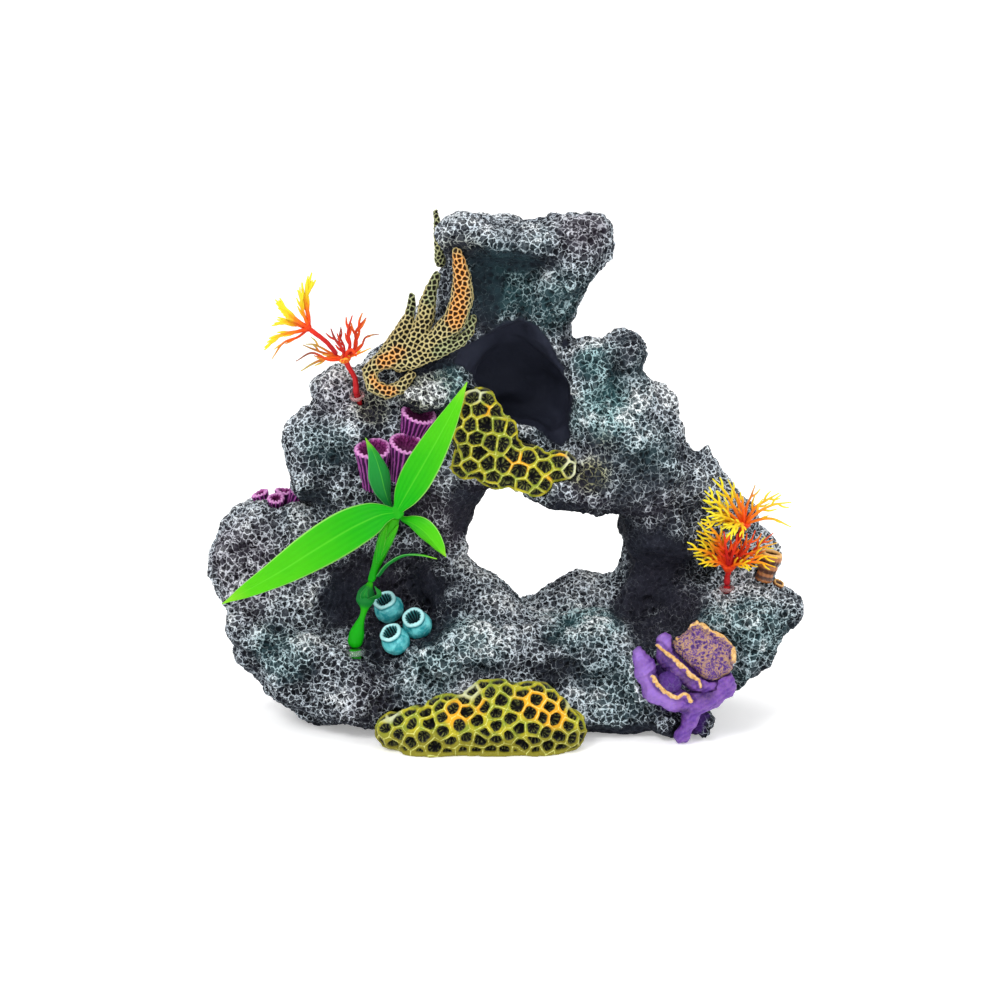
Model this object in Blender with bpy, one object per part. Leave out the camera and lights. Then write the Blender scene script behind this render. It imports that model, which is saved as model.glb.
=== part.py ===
"""Resin aquarium cave ornament: a cast rock arch with a cave and a swim-through
window, separately cast corals bonded into seats, and three soft plastic plants
plugged into sockets.  Units are metres, +Z up, +Y towards the back, and the
origin is at the middle of the footprint on the surface the rock stands on."""

import math
import random

import bmesh
import bpy
from mathutils import Matrix, Vector

MM = 0.001

# The gap left between bonded pieces and their seats, in millimetres.
GAP = 0.4

ROCK = [
    ("cap_left", (-12.0, -4.0, 163.0), (13, 20, 7.7), 0),
    ("cap_corner", (-16.2, -5.0, 166.7), (4.6, 12, 4.6), 0),
    ("cap_mid_left", (-1.7, -3.0, 161.3), (16, 22, 7), 4),
    ("cap_mid", (9.7, -2.0, 160.3), (18, 22, 8), 0),
    ("cap_right", (20.8, -1.0, 161.1), (15, 21, 9), -6),
    ("cap_nose", (27.1, -4.0, 160.5), (8.5, 15, 10.5), 0),
    ("cap_nose_top", (28.0, -6.0, 165.8), (6.5, 12, 5.2), 0),
    ("cap_under", (21.6, -6.0, 152.6), (8, 12, 8), 35),
    ("neck_left", (-14.2, 4.0, 144.3), (9.5, 17, 22), 0),
    ("neck_mid", (-1.7, 8.0, 145.5), (16, 18, 24), 0),
    ("neck_right", (14.5, 5.0, 144.8), (13, 17, 19), 24),
    ("neck_low", (10.0, 9.0, 131.4), (12.8, 15, 16), 0),
    ("neck_back", (0.0, 20.0, 128.9), (22, 12, 24), 0),
    ("ledge_sponge", (-21.5, 6.0, 125.8), (15, 17, 16), -35),
    ("ledge_left", (-34.8, 5.0, 115.9), (15, 17, 12), -20),
    ("lip_left", (-21.4, -4.0, 111.7), (16, 15, 7), 12),
    ("left_nub", (-54.7, 3.0, 110.5), (9.6, 11, 9), 0),
    ("left_shoulder", (-63.3, 4.0, 95.2), (12.2, 15, 11.5), 0),
    ("left_shoulder_low", (-62.5, 4.0, 84.0), (11.8, 15, 11), 0),
    ("left_column_a", (-50.0, 5.0, 97.4), (16, 19, 15), 0),
    ("left_column_b", (-36.7, 6.0, 97.2), (18, 18, 17), 0),
    ("left_column_c", (-48.6, 6.0, 78.4), (18, 19, 15), 0),
    ("left_column_d", (-30.2, 8.0, 83.2), (18, 18, 16), 0),
    ("left_column_e", (-20.3, 10.0, 72.4), (12, 17, 12), 0),
    ("left_wall", (-18.0, 14.0, 62.9), (9, 16, 11), 18),
    ("left_wall_back", (-27.5, 22.0, 54.0), (14, 13, 15), 0),
    ("boulder_top", (-84.1, 8.0, 63.9), (13, 16, 9.5), -10),
    ("boulder_side", (-91.7, 8.0, 55.9), (9.8, 16, 13.5), 6),
    ("boulder_low", (-89.7, 6.0, 43.9), (9, 15, 9), 0),
    ("boulder_mid", (-74.4, 8.0, 57.3), (18, 19, 16), 0),
    ("boulder_base", (-73.0, 8.0, 41.6), (20, 18, 14), 0),
    ("boulder_base_b", (-58.4, 16.0, 39.6), (18, 14, 16), 0),
    ("boulder_in", (-59.5, 12.0, 58.1), (16, 18, 16), 0),
    ("base_left_tip", (-86.9, 2.0, 32.0), (8.5, 18, 8), 0),
    ("base_left_a", (-77.8, 2.0, 27.4), (15, 22, 14), 25),
    ("base_left_b", (-67.5, -2.0, 19.8), (18, 28, 16), 20),
    ("base_left_c", (-53.8, -6.0, 14.0), (18, 29, 13), 0),
    ("base_left_d", (-40.1, -12.0, 12.3), (18, 26, 13), 0),
    ("base_floor", (-45.9, 5.0, 24.8), (26, 26, 12), 0),
    ("basin_back", (-38.0, 22.0, 38.0), (30, 13, 22), 0),
    ("basin_back_top", (-37.7, 20.0, 58.0), (22, 12, 14), 0),
    ("basin_back_left", (-54.8, 16.0, 44.9), (18, 14, 16), 0),
    ("basin_rim", (-52.7, -20.0, 23.3), (16, 10, 6), 8),
    ("basin_rim_right", (-24.8, -16.0, 27.3), (13, 12, 9), -10),
    ("ridge_left", (-17.9, 6.0, 43.9), (11, 20, 9), 20),
    ("ridge_mid", (-5.1, 8.0, 38.1), (12, 18, 8), 32),
    ("base_mid_a", (-18.4, -6.0, 24.4), (18, 24, 14), 0),
    ("base_mid_b", (-3.3, -4.0, 23.9), (18, 24, 12), 0),
    ("base_mid_c", (13.5, -4.0, 24.6), (20, 24, 12), 0),
    ("base_mid_d", (28.6, -4.0, 25.6), (19, 24, 13), 0),
    ("sill_back", (23.2, 20.0, 34.3), (15, 13, 10), -12),
    ("sill_right", (40.3, 16.0, 36.0), (12, 14, 10), 0),
    ("sill_left", (3.5, 16.0, 28.2), (13, 14, 8), 0),
    ("sill_bump", (30.9, 22.0, 40.5), (4.5, 6, 4), 0),
    ("base_back_left", (-36.7, 30.0, 28.8), (30, 12, 18), 0),
    ("base_back_mid", (0.1, 32.0, 17.3), (38, 12, 13), 0),
    ("base_back_right", (43.8, 28.0, 25.7), (34, 13, 17), 0),
    ("base_front_a", (-21.6, -16.0, 8.3), (22, 20, 9), 0),
    ("base_front_b", (-1.7, -18.0, 10.6), (22, 20, 10), 0),
    ("base_front_c", (18.4, -12.0, 7.1), (22, 20, 10), 0),
    ("base_front_d", (38.5, -10.0, 8.2), (20, 22, 11), 0),
    ("right_wall", (54.2, 20.0, 43.9), (17, 15, 20), 0),
    ("right_column_a", (55.4, 12.0, 65.1), (19, 18, 17), 0),
    ("right_column_b", (45.3, 6.0, 80.8), (19, 19, 14), 0),
    ("arch_right", (31.7, 3.0, 81.4), (17, 18, 13), 0),
    ("arch_mid", (18.4, 3.0, 81.4), (16, 17, 11.5), 15),
    ("arch_left", (5.0, 4.0, 90.8), (15, 17, 13), 25),
    ("arch_honey_a", (-11.7, 5.0, 99.1), (14, 18, 14), 0),
    ("arch_honey_b", (-5.0, 3.0, 91.0), (14, 17, 13), 30),
    ("arch_root", (-13.5, 10.0, 82.8), (12, 17, 13), 0),
    ("cave_back", (2.4, 28.0, 112.3), (24, 9, 28), 0),
    ("cave_back_low", (18.9, 26.0, 95.3), (20, 10, 14), 0),
    ("cave_back_left", (-14.6, 20.0, 105.0), (12, 11, 18), 0),
    ("cave_back_right", (25.4, 18.0, 110.5), (10, 10, 16), 0),
    ("cave_floor", (8.5, 14.0, 92.3), (18, 15, 8), 0),
    ("arch_back", (11.9, 16.0, 85.0), (26, 12, 14), 20),
    ("right_shoulder_a", (36.5, 3.0, 101.1), (18, 18, 17), 0),
    ("right_shoulder_b", (28.1, 3.0, 116.2), (12, 17, 13), 0),
    ("right_knob", (40.5, 2.0, 124.0), (8.5, 12, 8.5), 0),
    ("right_knob_low", (42.4, 4.0, 113.7), (6.3, 12, 10), 0),
    ("right_horn", (52.1, 9.0, 106.8), (5.0, 8, 7), -25),
    ("right_slope_a", (51.0, 8.0, 92.1), (10.6, 16, 12), 0),
    ("right_slope_b", (63.7, 9.0, 77.8), (11, 15, 11), 0),
    ("right_slope_c", (74.7, 12.0, 65.1), (12, 15, 13), 0),
    ("right_bead", (67.6, 6.0, 90.4), (2.6, 4, 3.6), 20),
    ("right_back", (82.0, 14.0, 51.3), (12, 16, 12), 0),
    ("right_back_low", (78.7, 12.0, 38.8), (16, 17, 13), 0),
    ("right_back_fill", (67.5, 22.0, 43.4), (16, 12, 15), 0),
    ("sill_fill", (12.4, 30.0, 17.9), (12, 10, 14), 0),
    ("shelf_in", (65.8, 0.0, 33.2), (14, 24, 14), 0),
    ("shelf_mid", (79.0, -2.0, 35.5), (15, 23, 11), 0),
    ("shelf_tip", (93.0, 0.0, 37.7), (8.6, 17, 7.6), 0),
    ("right_base_a", (50.2, -9.0, 19.4), (17, 27, 14), 0),
    ("right_base_b", (65.5, -6.0, 19.2), (17, 24, 14), 0),
    ("right_base_c", (79.4, -4.0, 23.9), (13.6, 20, 11), -30),
    ("foot_right", (58.3, -15.0, 6.9), (14, 20, 10), 0),
    ("foot_tip", (61.8, -21.0, 4.0), (8.5, 14, 6), 0),
    ("back_foot_left", (-46.0, 20.0, 7.0), (24, 15, 14), 0),
    ("back_foot_mid_left", (-16.0, 24.0, 6.0), (22, 14, 13), 0),
    ("back_foot_mid", (16.0, 26.0, 6.0), (22, 14, 12), 0),
    ("back_foot_right", (46.0, 20.0, 7.0), (22, 15, 14), 0),
    ("left_foot", (-58.0, 2.0, 6.0), (18, 20, 10), 0),
]
CUT = [
    ("cave_mouth", (4.5, -14.0, 118.8), (15.2, 25, 18.2), -30),
    ("cave_brow", (0.9, -10.0, 129.7), (11, 17, 5.2), -24),
    ("cave_hall", (4.0, 3.0, 114.5), (14.5, 14, 16), -25),
    ("cave_low", (11.6, 2.0, 110.0), (10.5, 19, 10.4), -20),
    ("cave_nook", (-9.4, -14.0, 126.3), (13, 13, 4.6), -22),
    ("crown_front", (-1.7, -26.0, 147.1), (17, 10, 14), 0),
    ("crown_front_right", (12.6, -24.0, 144.4), (12, 9, 10), -25),
    ("window_a", (14.4, 0.0, 57.8), (17, 60, 7.6), 10),
    ("window_b", (-1.7, 0.0, 64.3), (9, 60, 12), 0),
    ("window_c", (28.5, 0.0, 56.1), (9.3, 60, 7.6), 0),
    ("window_d", (9.1, 0.0, 46.4), (8, 60, 9.5), 0),
    ("window_e", (-8.4, 0.0, 60.9), (6.8, 60, 6.0), -10),
    ("window_f", (-3.7, 0.0, 72.9), (4, 60, 6), 0),
    ("basin", (-36.7, -20.0, 41.3), (21, 20, 12.5), 0),
    ("basin_wall", (-36.4, -12.0, 47.4), (18, 17, 15), 0),
    ("right_hollow", (53.1, -14.0, 45.5), (11, 17, 17), 0),
]

ROCK_RATIO = 0.065
SEAT_RATIO = 0.45

for old in list(bpy.data.objects):
    bpy.data.objects.remove(old, do_unlink=True)

# ------------------------------------------------------------------ helpers


def link(name, mesh):
    obj = bpy.data.objects.new(name, mesh)
    bpy.context.scene.collection.objects.link(obj)
    return obj


def hide(obj):
    obj.hide_render = True
    obj.display_type = "WIRE"
    return obj


def material(name, colour, roughness=0.6, metallic=0.0):
    mat = bpy.data.materials.new(name)
    mat.use_nodes = True
    bsdf = mat.node_tree.nodes["Principled BSDF"]
    bsdf.inputs["Base Color"].default_value = (*colour, 1.0)
    bsdf.inputs["Roughness"].default_value = roughness
    bsdf.inputs["Metallic"].default_value = metallic
    mat.diffuse_color = (*colour, 1.0)
    return mat


def boulder(bm, centre, radii, tilt=0.0, seed=0, points=30, grow=0.0):
    """One angular stone: the convex hull of points strewn over an ellipsoid."""
    rng = random.Random(seed)
    turn = Matrix.Rotation(math.radians(tilt), 3, "Y")
    verts = []
    for i in range(points):
        h = 1 - 2 * (i + 0.5) / points
        a = i * 2.399963 + rng.uniform(-0.35, 0.35)
        ring = math.sqrt(1 - h * h)
        k = rng.uniform(0.93, 1.06)
        p = Vector(
            (
                ring * math.cos(a) * (radii[0] * k + grow),
                ring * math.sin(a) * (radii[1] * k + grow),
                h * (radii[2] * k + grow),
            )
        )
        p.rotate(turn)
        verts.append(bm.verts.new((Vector(centre) + p) * MM))
    made = bmesh.ops.convex_hull(bm, input=verts, use_existing_faces=False)
    loose = [g for g in made["geom_interior"] if isinstance(g, bmesh.types.BMVert)]
    bmesh.ops.delete(bm, geom=loose, context="VERTS")


def stones(name, table, seed, points=30):
    """All the stones of a table in one mesh, still overlapping."""
    bm = bmesh.new()
    for i, (_, centre, radii, tilt) in enumerate(table):
        one = bmesh.new()
        boulder(one, centre, radii, tilt, seed + i, points)
        bmesh.ops.recalc_face_normals(one, faces=one.faces)
        tmp = bpy.data.meshes.new("one")
        one.to_mesh(tmp)
        one.free()
        bm.from_mesh(tmp)
        bpy.data.meshes.remove(tmp)
    mesh = bpy.data.meshes.new(name)
    bm.to_mesh(mesh)
    bm.free()
    return link(name, mesh)


def remesh(obj, size):
    mod = obj.modifiers.new("Remesh", "REMESH")
    mod.mode = "VOXEL"
    mod.voxel_size = size * MM
    mod.adaptivity = 0.0
    return mod


def smooth(obj, repeat, factor=0.5):
    mod = obj.modifiers.new("Smooth", "SMOOTH")
    mod.factor = factor
    mod.iterations = repeat
    return mod


def displace(obj, kind, scale, strength, mid=0.5):
    tex = bpy.data.textures.new(obj.name + kind, kind)
    if kind == "VORONOI":
        tex.noise_scale = scale * MM
        tex.distance_metric = "DISTANCE"
        tex.weight_1, tex.weight_2 = -1.0, 1.0
    else:
        tex.noise_scale = scale * MM
        tex.noise_depth = 2
    mod = obj.modifiers.new("Displace", "DISPLACE")
    mod.texture = tex
    mod.texture_coords = "LOCAL"
    mod.strength = strength * MM
    mod.mid_level = mid
    return mod


def boolean(obj, other, operation="DIFFERENCE", solver="EXACT"):
    mod = obj.modifiers.new("Boolean", "BOOLEAN")
    mod.operation = operation
    mod.object = other
    mod.solver = solver
    return mod


def decimate(obj, ratio):
    mod = obj.modifiers.new("Decimate", "DECIMATE")
    mod.ratio = ratio
    return mod


def block(name, low, high):
    bm = bmesh.new()
    bmesh.ops.create_cube(bm, size=1.0)
    low, high = Vector(low) * MM, Vector(high) * MM
    for v in bm.verts:
        v.co = Vector(
            [(low[k] + high[k]) / 2 + v.co[k] * (high[k] - low[k]) for k in range(3)]
        )
    mesh = bpy.data.meshes.new(name)
    bm.to_mesh(mesh)
    bm.free()
    return link(name, mesh)


# ------------------------------------------------------------------ the rock

cut = hide(stones("cavities", CUT, 900, 40))
remesh(cut, 2.0)
smooth(cut, 4)

rock = stones("rock_body", ROCK, 10)
remesh(rock, 1.8)
smooth(rock, 4)
boolean(rock, cut)
remesh(rock, 1.8)
displace(rock, "CLOUDS", 22.0, 5.0)
displace(rock, "VORONOI", 9.0, 2.6, 0.3)
smooth(rock, 2)
decimate(rock, ROCK_RATIO)
floor_cut = hide(block("floor_cut", (-130, -80, -30), (130, 80, 0)))
boolean(rock, floor_cut)
rock.data.materials.append(material("resin_rock", (0.09, 0.095, 0.11), 0.85))

# ------------------------------------------------- more modelling helpers


def bake(obj):
    """Keep the modified shape and drop the modifiers."""
    graph = bpy.context.evaluated_depsgraph_get()
    mesh = bpy.data.meshes.new_from_object(obj.evaluated_get(graph))
    mats = [m for m in obj.data.materials]
    obj.modifiers.clear()
    obj.data = mesh
    mesh.materials.clear()
    for m in mats:
        mesh.materials.append(m)
    return obj


def largest_body(obj):
    """Drop the loose chips that a cut can leave."""
    bm = bmesh.new()
    bm.from_mesh(obj.data)
    seen, groups = set(), []
    for v in bm.verts:
        if v.index in seen:
            continue
        seen.add(v.index)
        stack, group = [v], []
        while stack:
            w = stack.pop()
            group.append(w)
            for e in w.link_edges:
                o = e.other_vert(w)
                if o.index not in seen:
                    seen.add(o.index)
                    stack.append(o)
        groups.append(group)
    groups.sort(key=len)
    for group in groups[:-1]:
        bmesh.ops.delete(bm, geom=group, context="VERTS")
    bm.to_mesh(obj.data)
    bm.free()
    return obj


def finish_mesh(name, bm, mat, smooth_faces=True):
    bmesh.ops.recalc_face_normals(bm, faces=bm.faces)
    mesh = bpy.data.meshes.new(name)
    bm.to_mesh(mesh)
    bm.free()
    obj = link(name, mesh)
    if mat:
        mesh.materials.append(mat)
    if smooth_faces:
        mesh.shade_smooth()
    return obj


def curve_points(points, count):
    """Points evenly along a smooth curve through the given ones."""
    pts = [Vector(p) for p in points]
    if len(pts) == 2:
        return [pts[0].lerp(pts[1], i / (count - 1)) for i in range(count)]
    ext = [2 * pts[0] - pts[1]] + pts + [2 * pts[-1] - pts[-2]]
    dense = []
    for i in range(1, len(ext) - 2):
        a, b, c, d = ext[i - 1 : i + 3]
        for k in range(12):
            t = k / 12
            dense.append(
                0.5
                * (
                    2 * b
                    + (c - a) * t
                    + (2 * a - 5 * b + 4 * c - d) * t * t
                    + (3 * b - a - 3 * c + d) * t**3
                )
            )
    dense.append(pts[-1])
    lengths = [0.0]
    for p, q in zip(dense, dense[1:]):
        lengths.append(lengths[-1] + (q - p).length)
    out, j = [], 0
    for i in range(count):
        s = lengths[-1] * i / (count - 1)
        while j < len(lengths) - 2 and lengths[j + 1] < s:
            j += 1
        seg = lengths[j + 1] - lengths[j]
        out.append(dense[j].lerp(dense[j + 1], (s - lengths[j]) / seg if seg else 0))
    return out


def ramp(values, t):
    """Piecewise linear value at t in 0..1 of evenly spaced values."""
    x = t * (len(values) - 1)
    i = min(int(x), len(values) - 2)
    return values[i] + (values[i + 1] - values[i]) * (x - i)


def frames(pts, side):
    """A tangent and two cross directions at each point of a path."""
    out = []
    s = Vector(side).normalized()
    for i, p in enumerate(pts):
        t = (pts[min(i + 1, len(pts) - 1)] - pts[max(i - 1, 0)]).normalized()
        s = (s - t * s.dot(t)).normalized()
        out.append((t, s, t.cross(s)))
    return out


def skin(bm, rings):
    """Faces between rings of points and over both ends; a ring of one is a pole."""
    made = [[bm.verts.new(Vector(p) * MM) for p in ring] for ring in rings]
    for a, b in zip(made, made[1:]):
        n = max(len(a), len(b))
        for i in range(n):
            j = (i + 1) % n
            if len(a) == 1:
                bm.faces.new((a[0], b[j], b[i]))
            elif len(b) == 1:
                bm.faces.new((a[i], a[j], b[0]))
            else:
                bm.faces.new((a[i], a[j], b[j], b[i]))
    if len(made[0]) > 2:
        bm.faces.new(list(reversed(made[0])))
    if len(made[-1]) > 2:
        bm.faces.new(made[-1])


def circle(centre, u, v, r, sides):
    return [
        centre
        + u * (r * math.cos(2 * math.pi * k / sides))
        + v * (r * math.sin(2 * math.pi * k / sides))
        for k in range(sides)
    ]


def bar(name, points, radii, mat, sides=8, count=8, side=(0, 1, 0), ball=(0, 0)):
    """A round bar along a curve; a ball end is half a sphere past the end."""
    pts = curve_points(points, count)
    fr = frames(pts, side)
    rings = []
    if ball[0]:
        t, u, v = fr[0]
        r = radii[0]
        rings.append([pts[0] - t * r])
        for a in (65, 35):
            c, s = math.cos(math.radians(a)), math.sin(math.radians(a))
            rings.append(circle(pts[0] - t * (r * s), u, v, r * c, sides))
    for i, p in enumerate(pts):
        _, u, v = fr[i]
        rings.append(circle(p, u, v, ramp(radii, i / (count - 1)), sides))
    if ball[1]:
        t, u, v = fr[-1]
        r = radii[-1]
        for a in (35, 65):
            c, s = math.cos(math.radians(a)), math.sin(math.radians(a))
            rings.append(circle(pts[-1] + t * (r * s), u, v, r * c, sides))
        rings.append([pts[-1] + t * r])
    bm = bmesh.new()
    skin(bm, rings)
    return finish_mesh(name, bm, mat)


def blade(name, points, widths, thick, side, fold, mat, count=12):
    """A leaf: a lens section with a folded midrib, swept from base to tip."""
    pts = curve_points(points, count)
    rings = []
    for i, (p, (t, s, n)) in enumerate(zip(pts, frames(pts, side))):
        w = ramp(widths, i / (count - 1)) / 2
        h = thick / 2 * (0.45 + 0.55 * min(1.0, w / 2.5))
        f = fold * w
        ring = [
            p + s * w - n * f,
            p + s * (w * 0.5) + n * (h - f * 0.35),
            p + n * h,
            p - s * (w * 0.5) + n * (h - f * 0.35),
            p - s * w - n * f,
            p - s * (w * 0.5) + n * (-h - f * 0.35),
            p - n * h,
            p + s * (w * 0.5) + n * (-h - f * 0.35),
        ]
        rings.append(ring)
    bm = bmesh.new()
    skin(bm, rings)
    return finish_mesh(name, bm, mat)


def turned(name, profile, base, axis, mat, sides=16):
    """A turned shape: (radius, height) pairs from the bottom pole up the
    outside, over the rim and down the inside to the upper pole."""
    axis = Vector(axis).normalized()
    u = axis.orthogonal().normalized()
    v = axis.cross(u)
    base = Vector(base)
    rings = []
    for r, h in profile:
        centre = base + axis * h
        rings.append([centre] if r == 0 else circle(centre, u, v, r, sides))
    bm = bmesh.new()
    skin(bm, rings)
    return finish_mesh(name, bm, mat)


def collar(name, base, axis, r_in, r_out, height, mat, sides=16):
    """A low ring with a rounded top."""
    axis = Vector(axis).normalized()
    u = axis.orthogonal().normalized()
    v = axis.cross(u)
    base = Vector(base)
    mid = (r_in + r_out) / 2
    section = [
        (r_in, 0.0),
        (r_out, 0.0),
        (r_out, height * 0.55),
        (mid, height),
        (r_in, height * 0.55),
    ]
    bm = bmesh.new()
    rows = [
        [bm.verts.new(p * MM) for p in circle(base + axis * h, u, v, r, sides)]
        for r, h in section
    ]
    for a, b in zip(rows, rows[1:] + rows[:1]):
        for i in range(sides):
            j = (i + 1) % sides
            bm.faces.new((a[i], a[j], b[j], b[i]))
    return finish_mesh(name, bm, mat)


def lump(name, table, seed, mat, voxel=1.2, ratio=0.2, rough=0.0):
    """A modelled coral: stones melted together and thinned out."""
    obj = stones(name, table, seed, 24)
    remesh(obj, voxel)
    smooth(obj, 3)
    if rough:
        displace(obj, "VORONOI", 5.0, rough, 0.3)
    decimate(obj, ratio)
    obj.data.materials.append(mat)
    bake(obj)
    obj.data.shade_smooth()
    return obj


def unite(obj, others):
    for other in others:
        boolean(obj, hide(other), "UNION", "MANIFOLD")
    bake(obj)
    for other in others:
        bpy.data.objects.remove(other, do_unlink=True)
    return largest_body(obj)


def grown(obj, gap=GAP, coarse=False):
    """A cutter: the piece's shape, larger all round by the gap."""
    graph = bpy.context.evaluated_depsgraph_get()
    mesh = bpy.data.meshes.new_from_object(obj.evaluated_get(graph))
    bm = bmesh.new()
    bm.from_mesh(mesh)
    bmesh.ops.triangulate(bm, faces=bm.faces)
    bm.normal_update()
    moves = []
    for v in bm.verts:
        n = v.normal
        least = min((n.dot(f.normal) for f in v.link_faces), default=1.0)
        moves.append((v, n * (gap * MM / max(0.75, least))))
    for v, d in moves:
        v.co += d
    bm.to_mesh(mesh)
    bm.free()
    cutter = hide(link(obj.name + "_seat", mesh))
    if coarse:
        decimate(cutter, SEAT_RATIO)
    return cutter


def cut_away(obj, *cutters, solver="MANIFOLD"):
    for cutter in cutters:
        boolean(obj, cutter, "DIFFERENCE", solver)
    bake(obj)
    return largest_body(obj)


# ------------------------------------------------------------- the materials

GREEN = material("leaf_green", (0.05, 0.62, 0.03), 0.35)
FIRE = material("fire_orange", (0.85, 0.16, 0.02), 0.4)
CLEAR = material("clear_glue", (0.75, 0.78, 0.75), 0.15)
YELLOW = material("coral_yellow", (0.55, 0.55, 0.03), 0.6)
PURPLE = material("coral_purple", (0.22, 0.03, 0.24), 0.55)
VIOLET = material("plate_violet", (0.16, 0.05, 0.32), 0.55)
TURQUOISE = material("vase_turquoise", (0.07, 0.50, 0.56), 0.3)
OLIVE = material("sponge_olive", (0.42, 0.36, 0.10), 0.7)
RUST = material("cup_rust", (0.30, 0.13, 0.04), 0.5)

# --------------------------------------------------- corals bonded to the rock

honey_upper = lump("honeycomb_coral_upper", [
    ("top", (-8.5, -9.0, 108.8), (8.0, 6.0, 6.0), 10),
    ("left", (-12.1, -9.0, 98.2), (6.5, 6.0, 9.0), 0),
    ("low_left", (-12.8, -9.0, 88.6), (6.5, 6.0, 6.0), 0),
    ("mid", (-2.6, -9.0, 97.6), (7.5, 6.5, 9.0), 30),
    ("mid_low", (-2.6, -9.0, 87.2), (8.5, 6.5, 8.0), 10),
    ("right_mid", (6.9, -9.0, 89.9), (8.5, 6.5, 6.5), 20),
    ("right_low", (8.2, -9.0, 82.9), (8.5, 6.5, 6.0), 15),
    ("right", (17.0, -9.0, 88.2), (8.0, 6.0, 6.0), 5),
], 40, YELLOW, ratio=0.1)

honey_lower = lump("honeycomb_coral_lower", [
    ("left_end", (-36.1, -35.0, 5.4), (7.0, 8.0, 6.5), 0),
    ("left", (-27.5, -37.0, 6.7), (11.0, 9.5, 8.5), 0),
    ("mid_left", (-15.9, -38.0, 9.4), (12.0, 10.0, 11.0), 0),
    ("mid", (-2.6, -38.0, 12.1), (13.0, 10.5, 13.0), 0),
    ("mid_right", (9.6, -38.0, 11.4), (12.0, 10.0, 12.0), 0),
    ("right", (18.7, -36.0, 6.4), (8.5, 9.0, 8.0), 0),
    ("foot_left", (-22.7, -38.0, 0.9), (13.0, 9.0, 7.0), 0),
    ("foot_mid", (-6.5, -38.0, -0.8), (15.0, 9.0, 7.0), 0),
    ("foot_right", (9.7, -37.0, -0.4), (13.0, 9.0, 7.0), 0),
], 60, YELLOW, ratio=0.08)
boolean(honey_lower, floor_cut)
bake(honey_lower)

# Each fluted tube is open at its rim: (radius, height) up the outside,
# over the rim and down the bore.
def fluted_tube(name, foot, rim, r_foot, r_rim, depth):
    foot, rim = Vector(foot), Vector(rim)
    h = (rim - foot).length
    profile = [
        (0, 0.0),
        (r_foot * 0.8, 0.4),
        (r_foot, 1.4),
        (r_foot * 0.4 + r_rim * 0.55, h * 0.6),
        (r_rim, h),
        (r_rim - 1.0, h + 0.25),
        (r_rim - 1.5, h - 0.6),
        (r_rim * 0.55, h - depth * 0.6),
        (0, h - depth),
    ]
    return turned(name, profile, foot, rim - foot, PURPLE, 14)


tube_back = fluted_tube("tube_coral_back", (-30.6, -5.5, 97.3), (-28.1, -9.0, 105.5), 4.0, 5.8, 4.0)
tube_left = fluted_tube("tube_coral_left", (-43.2, -7.0, 80.4), (-43.1, -14.0, 94.8), 3.6, 5.7, 6.0)
tube_right = fluted_tube("tube_coral_right", (-34.6, -7.5, 82.9), (-31.9, -14.0, 96.5), 3.4, 5.5, 6.0)
seats = [grown(tube_back), grown(tube_left), grown(tube_right)]
cut_away(tube_back, *seats[1:])

side_tubes = [
    turned("side_tube_cluster", [(0, 0), (1.8, 0.3), (2.1, 2.5), (2.9, 5.2), (2.2, 5.5), (1.2, 3.2), (0, 3.0)],
           (-81.2, 11.0, 69.8), (-0.35, -0.15, 1), PURPLE, 9),
    turned("side_b", [(0, 0), (1.8, 0.3), (2.1, 2.5), (2.8, 4.6), (2.1, 4.9), (1.1, 2.8), (0, 2.6)],
           (-77.1, 7.0, 70.0), (0.05, -0.5, 1), PURPLE, 9),
    turned("side_c", [(0, 0), (2.0, 0.3), (2.3, 3.0), (3.1, 6.2), (2.4, 6.5), (1.3, 4.0), (0, 3.8)],
           (-75.2, 12.0, 69.2), (0.1, -0.1, 1), PURPLE, 9),
    turned("side_d", [(0, 0), (1.6, 0.3), (1.9, 3.0), (2.5, 5.6), (1.9, 5.9), (1.0, 3.8), (0, 3.6)],
           (-71.9, 9.0, 71.3), (0.45, -0.35, 1), PURPLE, 9),
]
side_root = bar("side_root", [(-81.2, 11.0, 69.8), (-77.3, 8.5, 69.3), (-74.8, 11.5, 69.4), (-71.9, 9.0, 71.3)], (2.0, 2.2, 2.2, 1.8), PURPLE, 6, 6, (0, 1, 0), (1, 1))
seats += [grown(tube) for tube in side_tubes + [side_root]]
side_cluster = unite(side_tubes[0], side_tubes[1:] + [side_root])

# Vase sponges: round bodies with a waisted neck and a flared lip.
VASE = [
    (0, 0.0), (2.6, 0.25), (4.2, 1.8), (5.0, 4.0), (4.7, 6.0), (3.4, 7.8),
    (3.9, 8.9), (3.4, 9.5), (2.6, 8.3), (0, 5.0),
]


def vase(name, foot, axis, scale):
    return turned(name, [(r * scale, h * scale) for r, h in VASE], foot, axis, TURQUOISE, 14)


vase_back = vase("vase_sponge_back", (-37.6, -2.0, 34.8), (-0.30, -0.50, 0.80), 0.98)
vase_right = vase("vase_sponge_right", (-28.0, -8.0, 31.2), (-0.28, -0.62, 0.76), 0.98)
vase_front = vase("vase_sponge_front", (-34.8, -14.5, 27.2), (-0.34, -0.48, 0.80), 0.95)

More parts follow.
